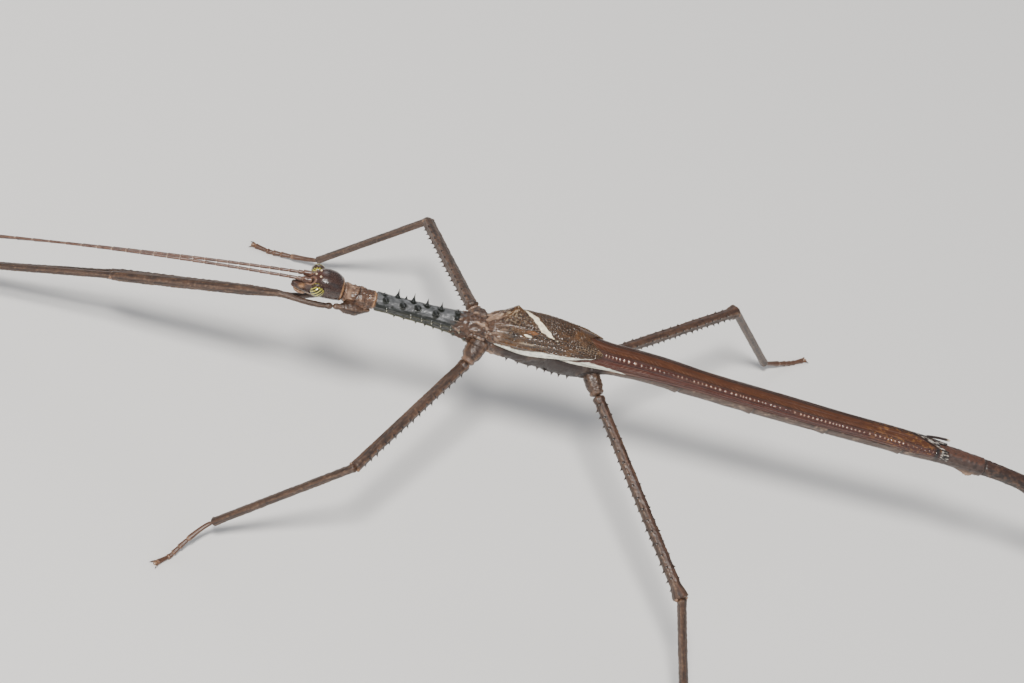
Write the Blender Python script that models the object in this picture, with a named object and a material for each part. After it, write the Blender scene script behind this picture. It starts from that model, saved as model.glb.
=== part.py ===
# Winged male stick insect, life size, standing on its six feet.
# Lengths below are millimetres: x runs from the front of the head to the tail,
# y to the right side of the animal, z up from the floor.
import math

import bmesh
import bpy
import numpy as np

for old in list(bpy.data.objects):
    bpy.data.objects.remove(old, do_unlink=True)

MM = 0.001
GAP = 0.3
LEFT = -1
RIGHT = 1
SIDES = {"left": LEFT, "right": RIGHT}

# Body lengths, head first.
HEAD_LENGTH = 6.3
PROTHORAX_LENGTH = 4.2
MESOTHORAX_LENGTH = 13.6
METATHORAX_LENGTH = 16.3
ABDOMEN_LENGTHS = (10.0, 10.1, 10.2, 10.4, 12.0, 6.8, 4.4, 3.6, 3.2)
CERCUS_LENGTH = 2.6

PROTHORAX_START = HEAD_LENGTH
MESOTHORAX_START = PROTHORAX_START + PROTHORAX_LENGTH
METATHORAX_START = MESOTHORAX_START + MESOTHORAX_LENGTH
ABDOMEN_START = METATHORAX_START + METATHORAX_LENGTH
ABDOMEN_END = ABDOMEN_START + sum(ABDOMEN_LENGTHS)

# The body axis as place along x and height above the floor: level, then sagging to the tail.
AXIS_LINE = (
    (0.0, 28.0),
    (42.0, 28.0),
    (50.0, 27.82),
    (60.0, 27.4),
    (70.0, 27.0),
    (80.0, 26.72),
    (88.0, 26.3),
    (93.0, 25.85),
    (97.0, 25.2),
    (102.0, 24.1),
    (108.0, 22.85),
    (116.0, 21.4),
)

# Body sections: place along x, half width, top and bottom measured from the axis.
HEAD_SECTIONS = (
    (0.0, 0.16, -0.26, -0.62),
    (0.35, 0.36, -0.08, -0.92),
    (0.9, 0.60, 0.28, -1.12),
    (1.5, 0.88, 0.85, -1.20),
    (2.1, 1.18, 1.50, -1.22),
    (3.2, 1.62, 2.32, -1.15),
    (4.5, 1.74, 2.42, -1.02),
    (5.6, 1.56, 2.02, -0.98),
    (6.3, 1.25, 1.45, -0.92),
)
COLLAR_START = 5.85
COLLAR_HEIGHT = 0.07
THORAX_SECTIONS = (
    (6.3, 1.20, 1.15, -1.00),
    (8.0, 1.22, 1.12, -1.22),
    (10.4, 1.10, 1.00, -1.15),
    (14.0, 1.12, 1.00, -1.28),
    (16.4, 1.16, 1.02, -1.40),
    (18.7, 1.22, 1.08, -1.68),
    (21.3, 1.42, 1.26, -2.10),
    (22.7, 1.58, 1.40, -2.42),
    (24.1, 1.80, 1.55, -2.65),
    (27.0, 2.15, 1.60, -2.98),
    (31.5, 2.42, 1.60, -3.45),
    (36.0, 2.58, 1.60, -3.60),
    (38.8, 2.35, 1.60, -3.00),
    (40.4, 1.95, 1.60, -1.85),
)
ABDOMEN_SECTIONS = (
    (40.4, 1.90, 1.60, -1.70),
    (43.5, 1.72, 1.70, -1.38),
    (50.4, 1.62, 1.65, -1.55),
    (60.5, 1.58, 1.60, -1.62),
    (70.7, 1.48, 1.50, -1.52),
    (81.1, 1.42, 1.45, -1.45),
    (88.0, 1.22, 1.10, -1.20),
    (93.0, 1.12, 1.00, -1.05),
    (97.0, 0.98, 0.95, -0.95),
    (100.0, 1.05, 0.95, -1.00),
    (104.3, 1.30, 1.05, -1.20),
    (108.0, 1.22, 1.00, -1.20),
    (111.1, 0.70, 0.60, -0.70),
)

RING_SWELL = 0.16

# Wing covers: place along x, half width, ridge and side edge measured from the axis.
WING_WALL = 0.5
TEGMEN_START = 25.2
TEGMEN_END = 40.2
TEGMEN_SECTIONS = (
    (25.2, 1.55, 1.90, -0.35),
    (27.5, 2.20, 2.90, -0.35),
    (29.5, 2.50, 3.60, 0.00),
    (32.5, 2.60, 3.75, 0.25),
    (35.5, 2.52, 3.32, 0.50),
    (38.0, 2.25, 2.78, 0.60),
    (40.2, 1.86, 2.36, 0.66),
)
TEGMEN_ROW_COUNTS = (3, 13)
TEGMEN_VEINS = (24.0, 46.0, 66.0, 82.0)
HUMP_PLACE = 27.1
HUMP_HEIGHT = 2.55
HUMP_LENGTH = 1.4
HUMP_WIDTH = 1.1
HUMP_ROUND = 0.12
HINDWING_START = 31.0
HINDWING_END = 87.2
HINDWING_SECTIONS = (
    (31.0, 1.60, 2.65, 0.55),
    (36.0, 1.52, 2.25, 0.62),
    (38.5, 1.24, 1.80, 0.64),
    (40.4, 0.95, 1.45, 0.64),
    (41.6, 1.72, 2.06, 0.63),
    (43.5, 1.90, 2.22, 0.62),
    (47.0, 1.85, 2.12, 0.55),
    (53.0, 1.68, 1.70, 0.35),
    (63.5, 1.64, 1.64, 0.35),
    (74.0, 1.52, 1.52, 0.32),
    (84.0, 1.50, 1.50, 0.30),
    (87.2, 1.30, 1.42, 0.40),
)
HINDWING_ROWS = (31.0, 33.5, 36.0, 38.5, 40.4, 41.6, 43.5, 46.0)
HINDWING_ROW_STEP = 2.9
HINDWING_VEINS = (20.0, 46.0, 70.0)
VEIN_HALF_ANGLE = 3.0
VEIN_HEIGHT = 0.13

EYE_PLACE = (2.9, 1.6, 28.85)
EYE_HALF_SIZE = (0.88, 0.84, 0.82)

# Feelers.
ANTENNA_ROOT = (2.1, 0.55, 29.2)
ANTENNA_TIPS = {"left": (-45.6, 6.0, 13.5), "right": (-45.2, 6.9, 12.1)}
ANTENNA_BOWS = {"left": (-0.2, 1.2), "right": (-0.4, 1.25)}
ANTENNA_RADIUS = 0.27
ANTENNA_BASE_RADII = (0.42, 0.34)
ANTENNA_BASE_LENGTHS = (1.1, 0.7)
ANTENNA_SEGMENTS = 20

# Mouthparts: root beside the midline and the joints of the two pairs of palps.
PALPS = {
    "outer": ((1.9, 0.5, 26.85), (1.35, 0.5, 26.66), (0.85, 0.44, 26.7), (0.5, 0.34, 26.85)),
    "inner": ((1.5, 0.16, 26.8), (1.0, 0.17, 26.66), (0.65, 0.14, 26.72), (0.42, 0.1, 26.88)),
}
PALP_RADIUS = 0.24
LABRUM = {"place": (0.42, 0.0, 27.2), "half_size": (0.4, 0.36, 0.34)}
OCELLI = ((2.25, 0.0), (2.65, 0.3), (2.65, -0.3))
OCELLUS_RADIUS = 0.2

# Spines of the mid thorax: place along x and length, by side, then the small tubercles.
SPINE_ANGLE = 26.0
SPINES = {
    "left": ((11.6, 0.7), (13.8, 1.1), (15.7, 1.1), (18.1, 1.1), (20.8, 0.7)),
    "right": ((11.2, 0.35), (12.8, 1.1), (14.1, 0.45), (15.0, 1.1), (16.7, 1.0), (18.5, 0.95), (20.8, 0.6)),
}
SPINE_RADIUS = 0.48
TUBERCLE_ROWS = (
    (100.0, (12.0, 13.1, 14.4, 16.0, 17.9, 19.2, 20.8, 22.1)),
    (137.0, (12.6, 14.9, 16.9, 18.6, 20.1, 21.5)),
)
TUBERCLE_LENGTH = 0.38
TUBERCLE_RADIUS = 0.22
FLANK_TEETH = (27.6, 29.1, 31.6, 33.5, 34.5, 35.6)
FLANK_TOOTH_ANGLE = 128.0
FLANK_TOOTH_LENGTH = 0.55

# Legs: lengths by pair, thickness as radii, and each leg's stance as headings and pitches.
FEMUR_LENGTHS = {"fore": 28.3, "mid": 21.2, "hind": 27.7}
TIBIA_LENGTHS = {"fore": 27.5, "mid": 21.0, "hind": 23.0}
TARSUS_LENGTHS = {"fore": 8.0, "mid": 8.8, "hind": 8.2}
COXA_RADII = {"fore": (0.82, 0.42), "mid": (1.25, 0.78), "hind": (1.00, 0.86)}
FEMUR_RADII = {"fore": (0.27, 0.64, 0.54), "mid": (0.76, 0.70, 0.72), "hind": (0.70, 0.65, 0.92)}
TIBIA_RADII = {"fore": (0.50, 0.43, 0.46), "mid": (0.58, 0.50, 0.55), "hind": (0.62, 0.55, 0.60)}
TARSUS_RADIUS = 0.36
TARSUS_FLAT = 2.1
CLAW_LENGTH = 0.95
CLAW_RADIUS = 0.17
LIMB_RIDGE = 0.09
FEMUR_TEETH = {"mid": 9, "hind": 13}
FEMUR_TOOTH_LENGTH = 0.5
FEMUR_TOOTH_RADIUS = 0.26
LEGS = {
    "fore_left": {"root": (8.4, -1.0, 26.8), "hip": (5.5, -1.75, 27.0), "femur": (166.9, -22.4),
                  "tibia": (169.9, -24.1), "tarsus": 176.0,
                  "bend": ((3.0, -2.2, 26.7), (1.2, -1.7, 26.7), (-1.2, -1.0, 26.05))},
    "fore_right": {"root": (8.4, 1.0, 26.6), "hip": (5.3, 1.75, 25.5), "femur": (167.5, -25.7),
                   "tibia": (170.7, -24.4), "tarsus": 168.0,
                   "bend": ((3.6, 1.9, 24.0), (1.8, 2.0, 22.9), (-0.4, 2.3, 22.4))},
    "mid_left": {"root": (24.6, -0.9, 26.9), "hip": (23.4, -3.55, 24.8), "femur": (-125.7, -11.7),
                 "tibia": (178.4, -52.4), "tarsus": -137.0},
    "mid_right": {"root": (24.6, 0.9, 27.2), "hip": (23.3, 3.55, 27.2), "femur": (102.2, -19.3),
                  "tibia": (149.8, -58.6), "tarsus": 168.0},
    "hind_left": {"root": (38.8, -1.0, 26.6), "hip": (40.4, -4.1, 25.5), "femur": (-60.45, -12.8),
                  "tibia": (-57.8, -51.7), "tarsus": -64.0},
    "hind_right": {"root": (39.2, 1.0, 26.4), "hip": (41.5, 3.8, 24.5), "femur": (41.7, -10.2),
                   "tibia": (38.1, -49.9), "tarsus": 31.0},
}


def material(name, colour, roughness):
    """One Principled material for a sub-part."""
    made = bpy.data.materials.new(name)
    made.use_nodes = True
    shader = made.node_tree.nodes["Principled BSDF"]
    shader.inputs["Base Color"].default_value = (*colour, 1.0)
    shader.inputs["Roughness"].default_value = roughness
    shader.inputs["Metallic"].default_value = 0.0
    return made


def smooth_curve(sections, column, x):
    """A smooth curve through one column of a list of sections, read at x."""
    table = np.array(sections, dtype=float)
    places = table[:, 0]
    values = table[:, column]
    slopes = np.gradient(values, places)
    x = np.clip(x, places[0], places[-1])
    i = np.clip(np.searchsorted(places, x) - 1, 0, len(places) - 2)
    width = places[i + 1] - places[i]
    t = (x - places[i]) / width
    start = (2 * t**3 - 3 * t**2 + 1) * values[i] + (t**3 - 2 * t**2 + t) * width * slopes[i]
    end = (3 * t**2 - 2 * t**3) * values[i + 1] + (t**3 - t**2) * width * slopes[i + 1]
    return start + end


def axis_height(x):
    """Height of the body axis above the floor at x."""
    return float(smooth_curve(AXIS_LINE, 1, x))


def on_axis(x, y, z):
    """The world place of a point at offset y, z from the body axis at x."""
    step = 0.01
    rise = (axis_height(x + step) - axis_height(x - step)) / (2 * step)
    norm = math.hypot(1.0, rise)
    return np.array((x - z * rise / norm, y, axis_height(x) + z / norm))


def unit(v):
    """The vector v at length one."""
    v = np.asarray(v, dtype=float)
    return v / np.linalg.norm(v)


def direction(heading, pitch):
    """Unit vector from a heading in the floor plane and a pitch above it, in degrees."""
    heading = math.radians(heading)
    pitch = math.radians(pitch)
    level = math.cos(pitch)
    return np.array((level * math.cos(heading), level * math.sin(heading), math.sin(pitch)))


def add_object(name, verts, faces, paint):
    """A closed body from points in millimetres and faces, with its faces turned outwards."""
    mesh = bpy.data.meshes.new(name)
    mesh.from_pydata([tuple(float(c) * MM for c in p) for p in verts], [], faces)
    work = bmesh.new()
    work.from_mesh(mesh)
    bmesh.ops.recalc_face_normals(work, faces=work.faces)
    work.to_mesh(mesh)
    work.free()
    mesh.materials.append(paint)
    mesh.shade_smooth()
    mesh.set_sharp_from_angle(angle=math.radians(40))
    made = bpy.data.objects.new(name, mesh)
    bpy.context.scene.collection.objects.link(made)
    return made


def loft(name, rings, paint):
    """A closed body through a row of rings with equal numbers of points."""
    count = len(rings[0])
    verts = [p for ring in rings for p in ring]
    faces = []
    for i in range(len(rings) - 1):
        for j in range(count):
            k = (j + 1) % count
            faces.append((i * count + j, i * count + k, (i + 1) * count + k, (i + 1) * count + j))
    faces.append(tuple(range(count)))
    faces.append(tuple(range((len(rings) - 1) * count, len(rings) * count)))
    return add_object(name, verts, faces, paint)


def spike(base, way, length, radius, sides, flared=False):
    """A closed cone with its root sunk by half its radius, hollow-sided when flared."""
    base = np.asarray(base, dtype=float)
    way = unit(way)
    side_way = unit(np.cross(way, (1.0, 0.3, 0.1)))
    other_way = np.cross(way, side_way)
    levels = [(-0.5 * radius, radius)]
    if flared:
        levels.append((0.35 * length, 0.42 * radius))
    verts = []
    for height, wide in levels:
        for angle in section_angles(sides):
            outward = math.cos(angle) * side_way + math.sin(angle) * other_way
            verts.append(base + way * height + wide * outward)
    verts.append(base + way * length)
    faces = [tuple(range(sides))]
    last = (len(levels) - 1) * sides
    for j in range(sides):
        k = (j + 1) % sides
        if flared:
            faces.append((j, k, k + sides, j + sides))
        faces.append((last + j, last + k, len(verts) - 1))
    return add_object("spike", verts, faces, fill)


def fuse(made, pieces):
    """Join closed pieces to a body in one union."""
    group = bpy.data.collections.new(made.name + "_pieces")
    bpy.context.scene.collection.children.link(group)
    for piece in pieces:
        bpy.context.scene.collection.objects.unlink(piece)
        group.objects.link(piece)
    join = made.modifiers.new("join", "BOOLEAN")
    join.operation = "UNION"
    join.solver = "EXACT"
    join.operand_type = "COLLECTION"
    join.collection = group
    apply_modifiers(made)
    for piece in pieces:
        bpy.data.objects.remove(piece, do_unlink=True)
    bpy.data.collections.remove(group)


def sheet(name, outer, inner, paint):
    """A thin closed body between two like grids of points, split into triangles alike on both."""
    rows, columns = outer.shape[:2]
    size = rows * columns
    verts = list(outer.reshape(-1, 3)) + list(inner.reshape(-1, 3))
    faces = []
    for i in range(rows - 1):
        for j in range(columns - 1):
            a, b = i * columns + j, i * columns + j + 1
            c, d = a + columns, b + columns
            faces += [(a, b, d), (a, d, c)]
            faces += [(a + size, d + size, b + size), (a + size, c + size, d + size)]
    rim = [i * columns for i in range(rows)]
    rim += [(rows - 1) * columns + j for j in range(1, columns)]
    rim += [i * columns + columns - 1 for i in range(rows - 2, -1, -1)]
    rim += [j for j in range(columns - 2, 0, -1)]
    for a, b in zip(rim, rim[1:] + rim[:1]):
        faces += [(a, b, b + size), (a, b + size, a + size)]
    return add_object(name, verts, faces, paint)


def cut_clear(made, cutters):
    """Cut cutters out of a body and remove them."""
    for cutter in cutters:
        cut = made.modifiers.new("clear", "BOOLEAN")
        cut.operation = "DIFFERENCE"
        cut.solver = "EXACT"
        cut.object = cutter
        apply_modifiers(made)
        bpy.data.objects.remove(cutter, do_unlink=True)


def apply_modifiers(made):
    """Turn the evaluated mesh of an object into its own mesh, largest closed surface only."""
    evaluated = made.evaluated_get(bpy.context.evaluated_depsgraph_get())
    mesh = bpy.data.meshes.new_from_object(evaluated)
    made.modifiers.clear()
    made.data = mesh
    work = bmesh.new()
    work.from_mesh(mesh)
    bmesh.ops.remove_doubles(work, verts=work.verts, dist=1e-7)
    islands = surfaces(work)
    for island in sorted(islands, key=len)[:-1]:
        bmesh.ops.delete(work, geom=island, context="FACES")
    bmesh.ops.triangulate(work, faces=work.faces)
    work.to_mesh(mesh)
    work.free()


def surfaces(work):
    """The separate closed surfaces of a mesh, each as a list of its faces."""
    unseen = set(work.faces)
    found = []
    while unseen:
        queue = [unseen.pop()]
        island = []
        while queue:
            face = queue.pop()
            island.append(face)
            for edge in face.edges:
                for other in edge.link_faces:
                    if other in unseen:
                        unseen.remove(other)
                        queue.append(other)
        found.append(island)
    return found


def section_angles(sides):
    """Angles round a body section from the top, evenly spaced."""
    return np.linspace(0.0, 2 * math.pi, sides, endpoint=False)


def oval_ring(x, half_width, top, bottom, sides, power=2.3, grow=0.0):
    """Ring of a rounded section across the body axis at x."""
    middle = (top + bottom) / 2
    reach = (top - bottom) / 2 + grow
    wide = half_width + grow
    ring = []
    for angle in section_angles(sides):
        s, c = math.sin(angle), math.cos(angle)
        r = (abs(s / wide) ** power + abs(c / reach) ** power) ** (-1 / power)
        ring.append(on_axis(x, r * s, middle + r * c))
    return ring


# Angles round a section under the wings, and how square its underside is.
UNDERSIDE_POWER = 0.8
COVERED_ANGLES = (0, 30, 58, 80, 90, 110, 132, 156, 180, 204, 228, 250, 270, 280, 302, 330)


def covered_top(x):
    """Half width, top and ledge height of the body under the wings at x."""
    if x < HINDWING_START - GAP:
        source = TEGMEN_SECTIONS
    else:
        source = HINDWING_SECTIONS
    inset = WING_WALL + GAP
    wide = smooth_curve(source, 1, x) - inset
    top = smooth_curve(source, 2, x) - inset
    if x < TEGMEN_END:
        ledge = smooth_curve(TEGMEN_SECTIONS, 3, x) - GAP
    else:
        ledge = smooth_curve(HINDWING_SECTIONS, 3, x) - GAP
    return wide, top, ledge


def covered_ring(x, half_width, bottom):
    """Ring across the body where the wings lie over its upper half."""
    wide, top, ledge = covered_top(x)
    ring = []
    for degrees in COVERED_ANGLES:
        angle = math.radians(degrees)
        s, c = math.sin(angle), math.cos(angle)
        if degrees <= 80 or degrees >= 280:
            ring.append(on_axis(x, wide * s, ledge + (top - ledge) * max(c, 0.0)))
        else:
            sign = 1 if s > 0 else -1
            y = half_width * sign * abs(s) ** UNDERSIDE_POWER
            ring.append(on_axis(x, y, ledge - (ledge - bottom) * abs(c) ** UNDERSIDE_POWER))
    return ring


def body_rings(sections, start, end, count, sides, grow=0.0):
    """Rings of an uncovered stretch of the body."""
    rings = []
    for x in np.linspace(start, end, count):
        values = [smooth_curve(sections, column, x) for column in (1, 2, 3)]
        rings.append(oval_ring(x, *values, sides, grow=grow))
    return rings


def make_head(paint):
    """Egg-shaped capsule, narrow in front, with a raised collar, simple eyes, upper lip and palps."""
    places = np.concatenate(([0.0, 0.25], np.linspace(0.8, COLLAR_START - 0.1, 10),
                             (COLLAR_START, HEAD_LENGTH - GAP / 2)))
    rings = []
    for x in places:
        values = [smooth_curve(HEAD_SECTIONS, column, x) for column in (1, 2, 3)]
        collar = COLLAR_HEIGHT if x >= COLLAR_START else 0.0
        rings.append(oval_ring(x, *values, 20, power=2.1, grow=collar))
    made = loft("head", rings, paint)
    pieces = [dome(LABRUM["place"], LABRUM["half_size"], 8, 5)]
    for x, y in OCELLI:
        top = on_axis(x, y, smooth_curve(HEAD_SECTIONS, 2, x))
        pieces.append(dome(top, (OCELLUS_RADIUS,) * 3, 6, 4))
    for joints in PALPS.values():
        for side in SIDES.values():
            points = [np.array(p) * (1, side, 1) for p in joints]
            radii = [PALP_RADIUS, PALP_RADIUS, PALP_RADIUS * 0.9, PALP_RADIUS * 0.55]
            pieces.append(loft("palp", limb_rings(points, radii, 6), fill))
    fuse(made, pieces)
    return made


def dome(place, half_size, around, levels):
    """A closed rounded lump."""
    mesh = bpy.data.meshes.new("dome")
    work = bmesh.new()
    bmesh.ops.create_uvsphere(work, u_segments=around, v_segments=levels, radius=1.0)
    for vert in work.verts:
        vert.co = [(place[i] + vert.co[i] * half_size[i]) * MM for i in range(3)]
    work.to_mesh(mesh)
    work.free()
    mesh.materials.append(fill)
    made = bpy.data.objects.new("dome", mesh)
    bpy.context.scene.collection.objects.link(made)
    return made


def grown_head():
    """The head made larger by the gap, for cutting its neighbours."""
    rings = []
    for x in np.linspace(0.0, HEAD_LENGTH - GAP / 2, 13):
        values = [smooth_curve(HEAD_SECTIONS, column, x) for column in (1, 2, 3)]
        rings.append(oval_ring(x, *values, 20, power=2.1, grow=GAP))
    return loft("head_cutter", rings, fill)


def make_eye(name, side, paint):
    """Bulging compound eye, cut to lie on the head."""
    made = dome((EYE_PLACE[0], side * EYE_PLACE[1], EYE_PLACE[2]), EYE_HALF_SIZE, 14, 9)
    made.name = name
    made.data.materials[0] = paint
    cut_clear(made, [grown_head()])
    return made


def limb_rings(points, radii, sides, ridge=0.0, start_plane=None, end_plane=None):
    """Rings along a path, ridged at odd corners. End planes are (point, normal) pairs that mitre the ends."""
    points = [np.asarray(p, dtype=float) for p in points]
    tangents = []
    for i in range(len(points)):
        before = points[max(i - 1, 0)]
        after = points[min(i + 1, len(points) - 1)]
        tangents.append(unit(after - before))
    up = np.array((0.0, 0.0, 1.0))
    rings = []
    for i, (p, t) in enumerate(zip(points, tangents)):
        across = unit(np.cross(t, up))
        upright = np.cross(across, t)
        ring = []
        for j in range(sides):
            angle = 2 * math.pi * j / sides
            r = radii[i] * (1 + ridge * (1 if j % 2 else -1))
            ring.append(p + r * (math.cos(angle) * across + math.sin(angle) * upright))
        if i == 0 and start_plane:
            ring = on_plane(ring, t, start_plane)
        if i == len(points) - 1 and end_plane:
            ring = on_plane(ring, t, end_plane)
        rings.append(ring)
    return rings


def on_plane(ring, along, plane):
    """Slide the points of a ring along a direction onto a plane."""
    point, normal = plane
    return [p + along * (np.dot(point - p, normal) / np.dot(along, normal)) for p in ring]


def joint_planes(joint, before, after):
    """The two planes either side of a joint, a gap apart, that share the bisecting direction."""
    normal = unit(before + after)
    return (joint - normal * GAP / 2, normal), (joint + normal * GAP / 2, normal)


def straight(start, end, shares):
    """Points at given shares of the way from start to end."""
    return [start + (end - start) * share for share in shares]


def make_leg(name, spec, paint, thorax):
    """Coxa, femur, tibia and tarsus of one leg, end to end with a small gap at each joint."""
    pair, side_name = name.split("_")
    root = np.array(spec["root"], dtype=float)
    hip = np.array(spec["hip"], dtype=float)
    femur_way = direction(*spec["femur"])
    tibia_way = direction(*spec["tibia"])
    knee = hip + femur_way * FEMUR_LENGTHS[pair]
    ankle = knee + tibia_way * TIBIA_LENGTHS[pair]
    coxa_way = unit(hip - root)
    leaving_way = unit(np.array(spec["bend"][0]) - hip) if "bend" in spec else femur_way
    hip_planes = joint_planes(hip, coxa_way, leaving_way)
    knee_planes = joint_planes(knee, femur_way, tibia_way)

    thick, thin = COXA_RADII[pair]
    radii = (thick, thick, (2 * thick + thin) / 3, thin * 0.92, thin, thin * 0.94)
    points = straight(root, hip, (0.0, 0.3, 0.6, 0.72, 0.8, 1.0))
    rings = limb_rings(points, radii, 12, end_plane=hip_planes[0])
    coxa = loft(f"{pair}_coxa_{side_name}", rings, paint)
    cut_clear(coxa, thorax())

    thin, middle, end = FEMUR_RADII[pair]
    if "bend" in spec:
        outer = np.array(spec["bend"][-1])
        points = curved_base(hip, spec["bend"]) + straight(outer, knee, (0.12, 0.3, 0.9, 1.0))
        radii = (thin, thin, thin, thin * 1.1, thin * 1.5,
                 middle * 0.8, middle * 0.95, middle, end, end * 0.9)
    else:
        points = straight(hip, knee, (0.0, 0.06, 0.15, 0.5, 0.8, 0.95, 1.0))
        radii = (thin, thin, middle, middle, middle, end, end * 0.9)
    rings = limb_rings(points, radii, 8, ridge=LIMB_RIDGE,
                       start_plane=hip_planes[1], end_plane=knee_planes[0])
    femur = loft(f"{pair}_femur_{side_name}", rings, paint)
    if pair in FEMUR_TEETH:
        fuse(femur, femur_teeth(hip, knee, middle, FEMUR_TEETH[pair]))

    start, middle, end = TIBIA_RADII[pair]
    tarsus_way = unit(direction(spec["tarsus"], 0.0) + tibia_way)
    ankle_planes = joint_planes(ankle, tibia_way, tarsus_way)
    rings = limb_rings(straight(knee, ankle, (0.0, 0.05, 0.3, 0.8, 1.0)),
                       (start, start, middle, middle, end), 8, ridge=LIMB_RIDGE,
                       start_plane=knee_planes[1], end_plane=ankle_planes[0])
    loft(f"{pair}_tibia_{side_name}", rings, paint)

    make_tarsus(f"{pair}_tarsus_{side_name}", ankle, tarsus_way, direction(spec["tarsus"], 0.0),
                TARSUS_LENGTHS[pair], ankle_planes[1], paint)


def curved_base(hip, bend):
    """Points of the cubic curve by which a fore femur passes beside the head."""
    knots = [hip] + [np.array(p) for p in bend]
    points = []
    for t in (0.0, 0.2, 0.4, 0.6, 0.8, 1.0):
        shares = ((1 - t) ** 3, 3 * t * (1 - t) ** 2, 3 * t * t * (1 - t), t**3)
        points.append(sum(share * knot for share, knot in zip(shares, knots)))
    return points


def femur_teeth(hip, knee, radius, count):
    """Two rows of teeth along the lower edges of a femur."""
    way = unit(knee - hip)
    across = unit(np.cross(way, (0.0, 0.0, 1.0)))
    upright = np.cross(across, way)
    pieces = []
    for side in SIDES.values():
        outward = unit(side * across - upright)
        for share in np.linspace(0.1, 0.86, count):
            base = hip + (knee - hip) * share + outward * radius
            lean = unit(outward + way * 0.25)
            pieces.append(spike(base, lean, FEMUR_TOOTH_LENGTH, FEMUR_TOOTH_RADIUS, 4))
    return pieces


def make_tarsus(name, ankle, first_way, floor_way, length, plane, paint):
    """Foot of five joints and two claws that comes down from the ankle and runs flat along the floor."""
    sole = TARSUS_RADIUS * 0.8
    fall = ankle[2] - sole
    flat = TARSUS_FLAT
    reach = math.sqrt(max((length - flat) ** 2 - fall**2, 1.0))
    landing = np.array((ankle[0], ankle[1], sole)) + floor_way * reach * 0.97
    tip = landing + floor_way * flat
    bend = ankle + first_way * reach * 0.35
    knots = []
    for t in np.linspace(0.0, 1.0, 8):
        knots.append(ankle * (1 - t) ** 2 + bend * 2 * t * (1 - t) + landing * t**2)
    knots += [landing + floor_way * flat * 0.45, landing + floor_way * flat * 0.9, tip]
    radii = [TARSUS_RADIUS * k for k in (0.95, 0.8, 0.85, 0.8, 0.9, 0.82, 0.95, 0.85, 0.95, 1.15, 0.7)]
    rings = limb_rings(knots, radii, 10, start_plane=plane)
    for ring in rings[1:]:
        for p in ring:
            p[2] = max(p[2], 0.0)
    made = loft(name, rings, paint)
    across = np.cross(floor_way, (0.0, 0.0, 1.0))
    claws = []
    for side in SIDES.values():
        way = unit(floor_way + side * 0.55 * across)
        root = tip - floor_way * 0.15 + side * across * 0.1
        bow = np.array((0.0, 0.0, 0.12))
        points = [root, root + way * CLAW_LENGTH * 0.5 + bow, root + way * CLAW_LENGTH - bow]
        radii = (CLAW_RADIUS, CLAW_RADIUS * 0.8, CLAW_RADIUS * 0.3)
        claws.append(loft("claw", limb_rings(points, radii, 5), fill))
    fuse(made, claws)
    return made


def thorax_cutters(stations, start, end):
    """The thorax stretch grown by the gap, as cutters for the legs that leave it."""
    def build():
        rings = body_rings(stations, start, end, 12, 16, grow=GAP)
        return [loft("thorax_cutter", rings, fill)]
    return build


def make_antenna(name, side_name, side, paint):
    """Long feeler on the front of the head: two stout joints, then slim ones pinched where they meet."""
    root = np.array(ANTENNA_ROOT) * (1, side, 1)
    tip = np.array(ANTENNA_TIPS[side_name])
    length = np.linalg.norm(tip - root)
    scape = ANTENNA_BASE_LENGTHS[0]
    pedicel = scape + ANTENNA_BASE_LENGTHS[1]
    stout, slim = ANTENNA_BASE_RADII
    shares = [0.0, scape * 0.85, scape, pedicel * 0.9, pedicel]
    radii = [stout, stout, slim, slim, ANTENNA_RADIUS * 0.9]
    joint = (length - pedicel) / ANTENNA_SEGMENTS
    for i in range(ANTENNA_SEGMENTS):
        start = pedicel + i * joint
        shares += [start + joint * 0.8, start + joint]
        radii += [ANTENNA_RADIUS * 1.08, ANTENNA_RADIUS * 0.92]
    radii[-1] = ANTENNA_RADIUS * 0.5
    bow = np.array((0.0, *ANTENNA_BOWS[side_name]))
    points = []
    for along in shares:
        t = along / length
        points.append(root * (1 - t) + tip * t + bow * 4 * t * (1 - t))
    made = loft(name, limb_rings(points, radii, 6), paint)
    cut_clear(made, [grown_head()])
    return made


def wing_angles(veins):
    """Angles from the midline to the side edge with three to each vein, and the rise at each."""
    stops = [(0.0, 0.0), (90.0, 0.0)]
    for vein in veins:
        stops += [(vein - VEIN_HALF_ANGLE, 0.0), (vein, VEIN_HEIGHT), (vein + VEIN_HALF_ANGLE, 0.0)]
    return sorted(stops)


def wing_grid(sections, places, veins, side, hump, inset=0.0):
    """Arch of a wing from the midline to its side edge, with raised veins unless it is inset."""
    stops = wing_angles(veins)
    grid = np.zeros((len(places), len(stops), 3))
    for i, x in enumerate(places):
        wide, ridge, edge = (smooth_curve(sections, column, x) for column in (1, 2, 3))
        for j, (degrees, rise) in enumerate(stops):
            angle = math.radians(degrees)
            grow = -inset if inset else rise
            y = max((wide + grow) * math.sin(angle), GAP / 2)
            z = edge + (ridge + grow - edge) * math.cos(angle) ** 0.9
            if hump and not inset:
                away = math.hypot((x - HUMP_PLACE) / HUMP_LENGTH, (y - GAP / 2) / HUMP_WIDTH)
                z += HUMP_HEIGHT * math.exp(HUMP_ROUND - math.hypot(away, HUMP_ROUND))
            grid[i, j] = on_axis(x, side * y, z)
    return grid


def make_wing(name, sections, places, veins, side, paint, hump=False):
    """A folded wing as a thin shell between its veined arch and the same arch inset by the wall."""
    outer = wing_grid(sections, places, veins, side, hump)
    inner = wing_grid(sections, places, veins, side, hump, inset=WING_WALL)
    return sheet(name, outer, inner, paint)


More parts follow.
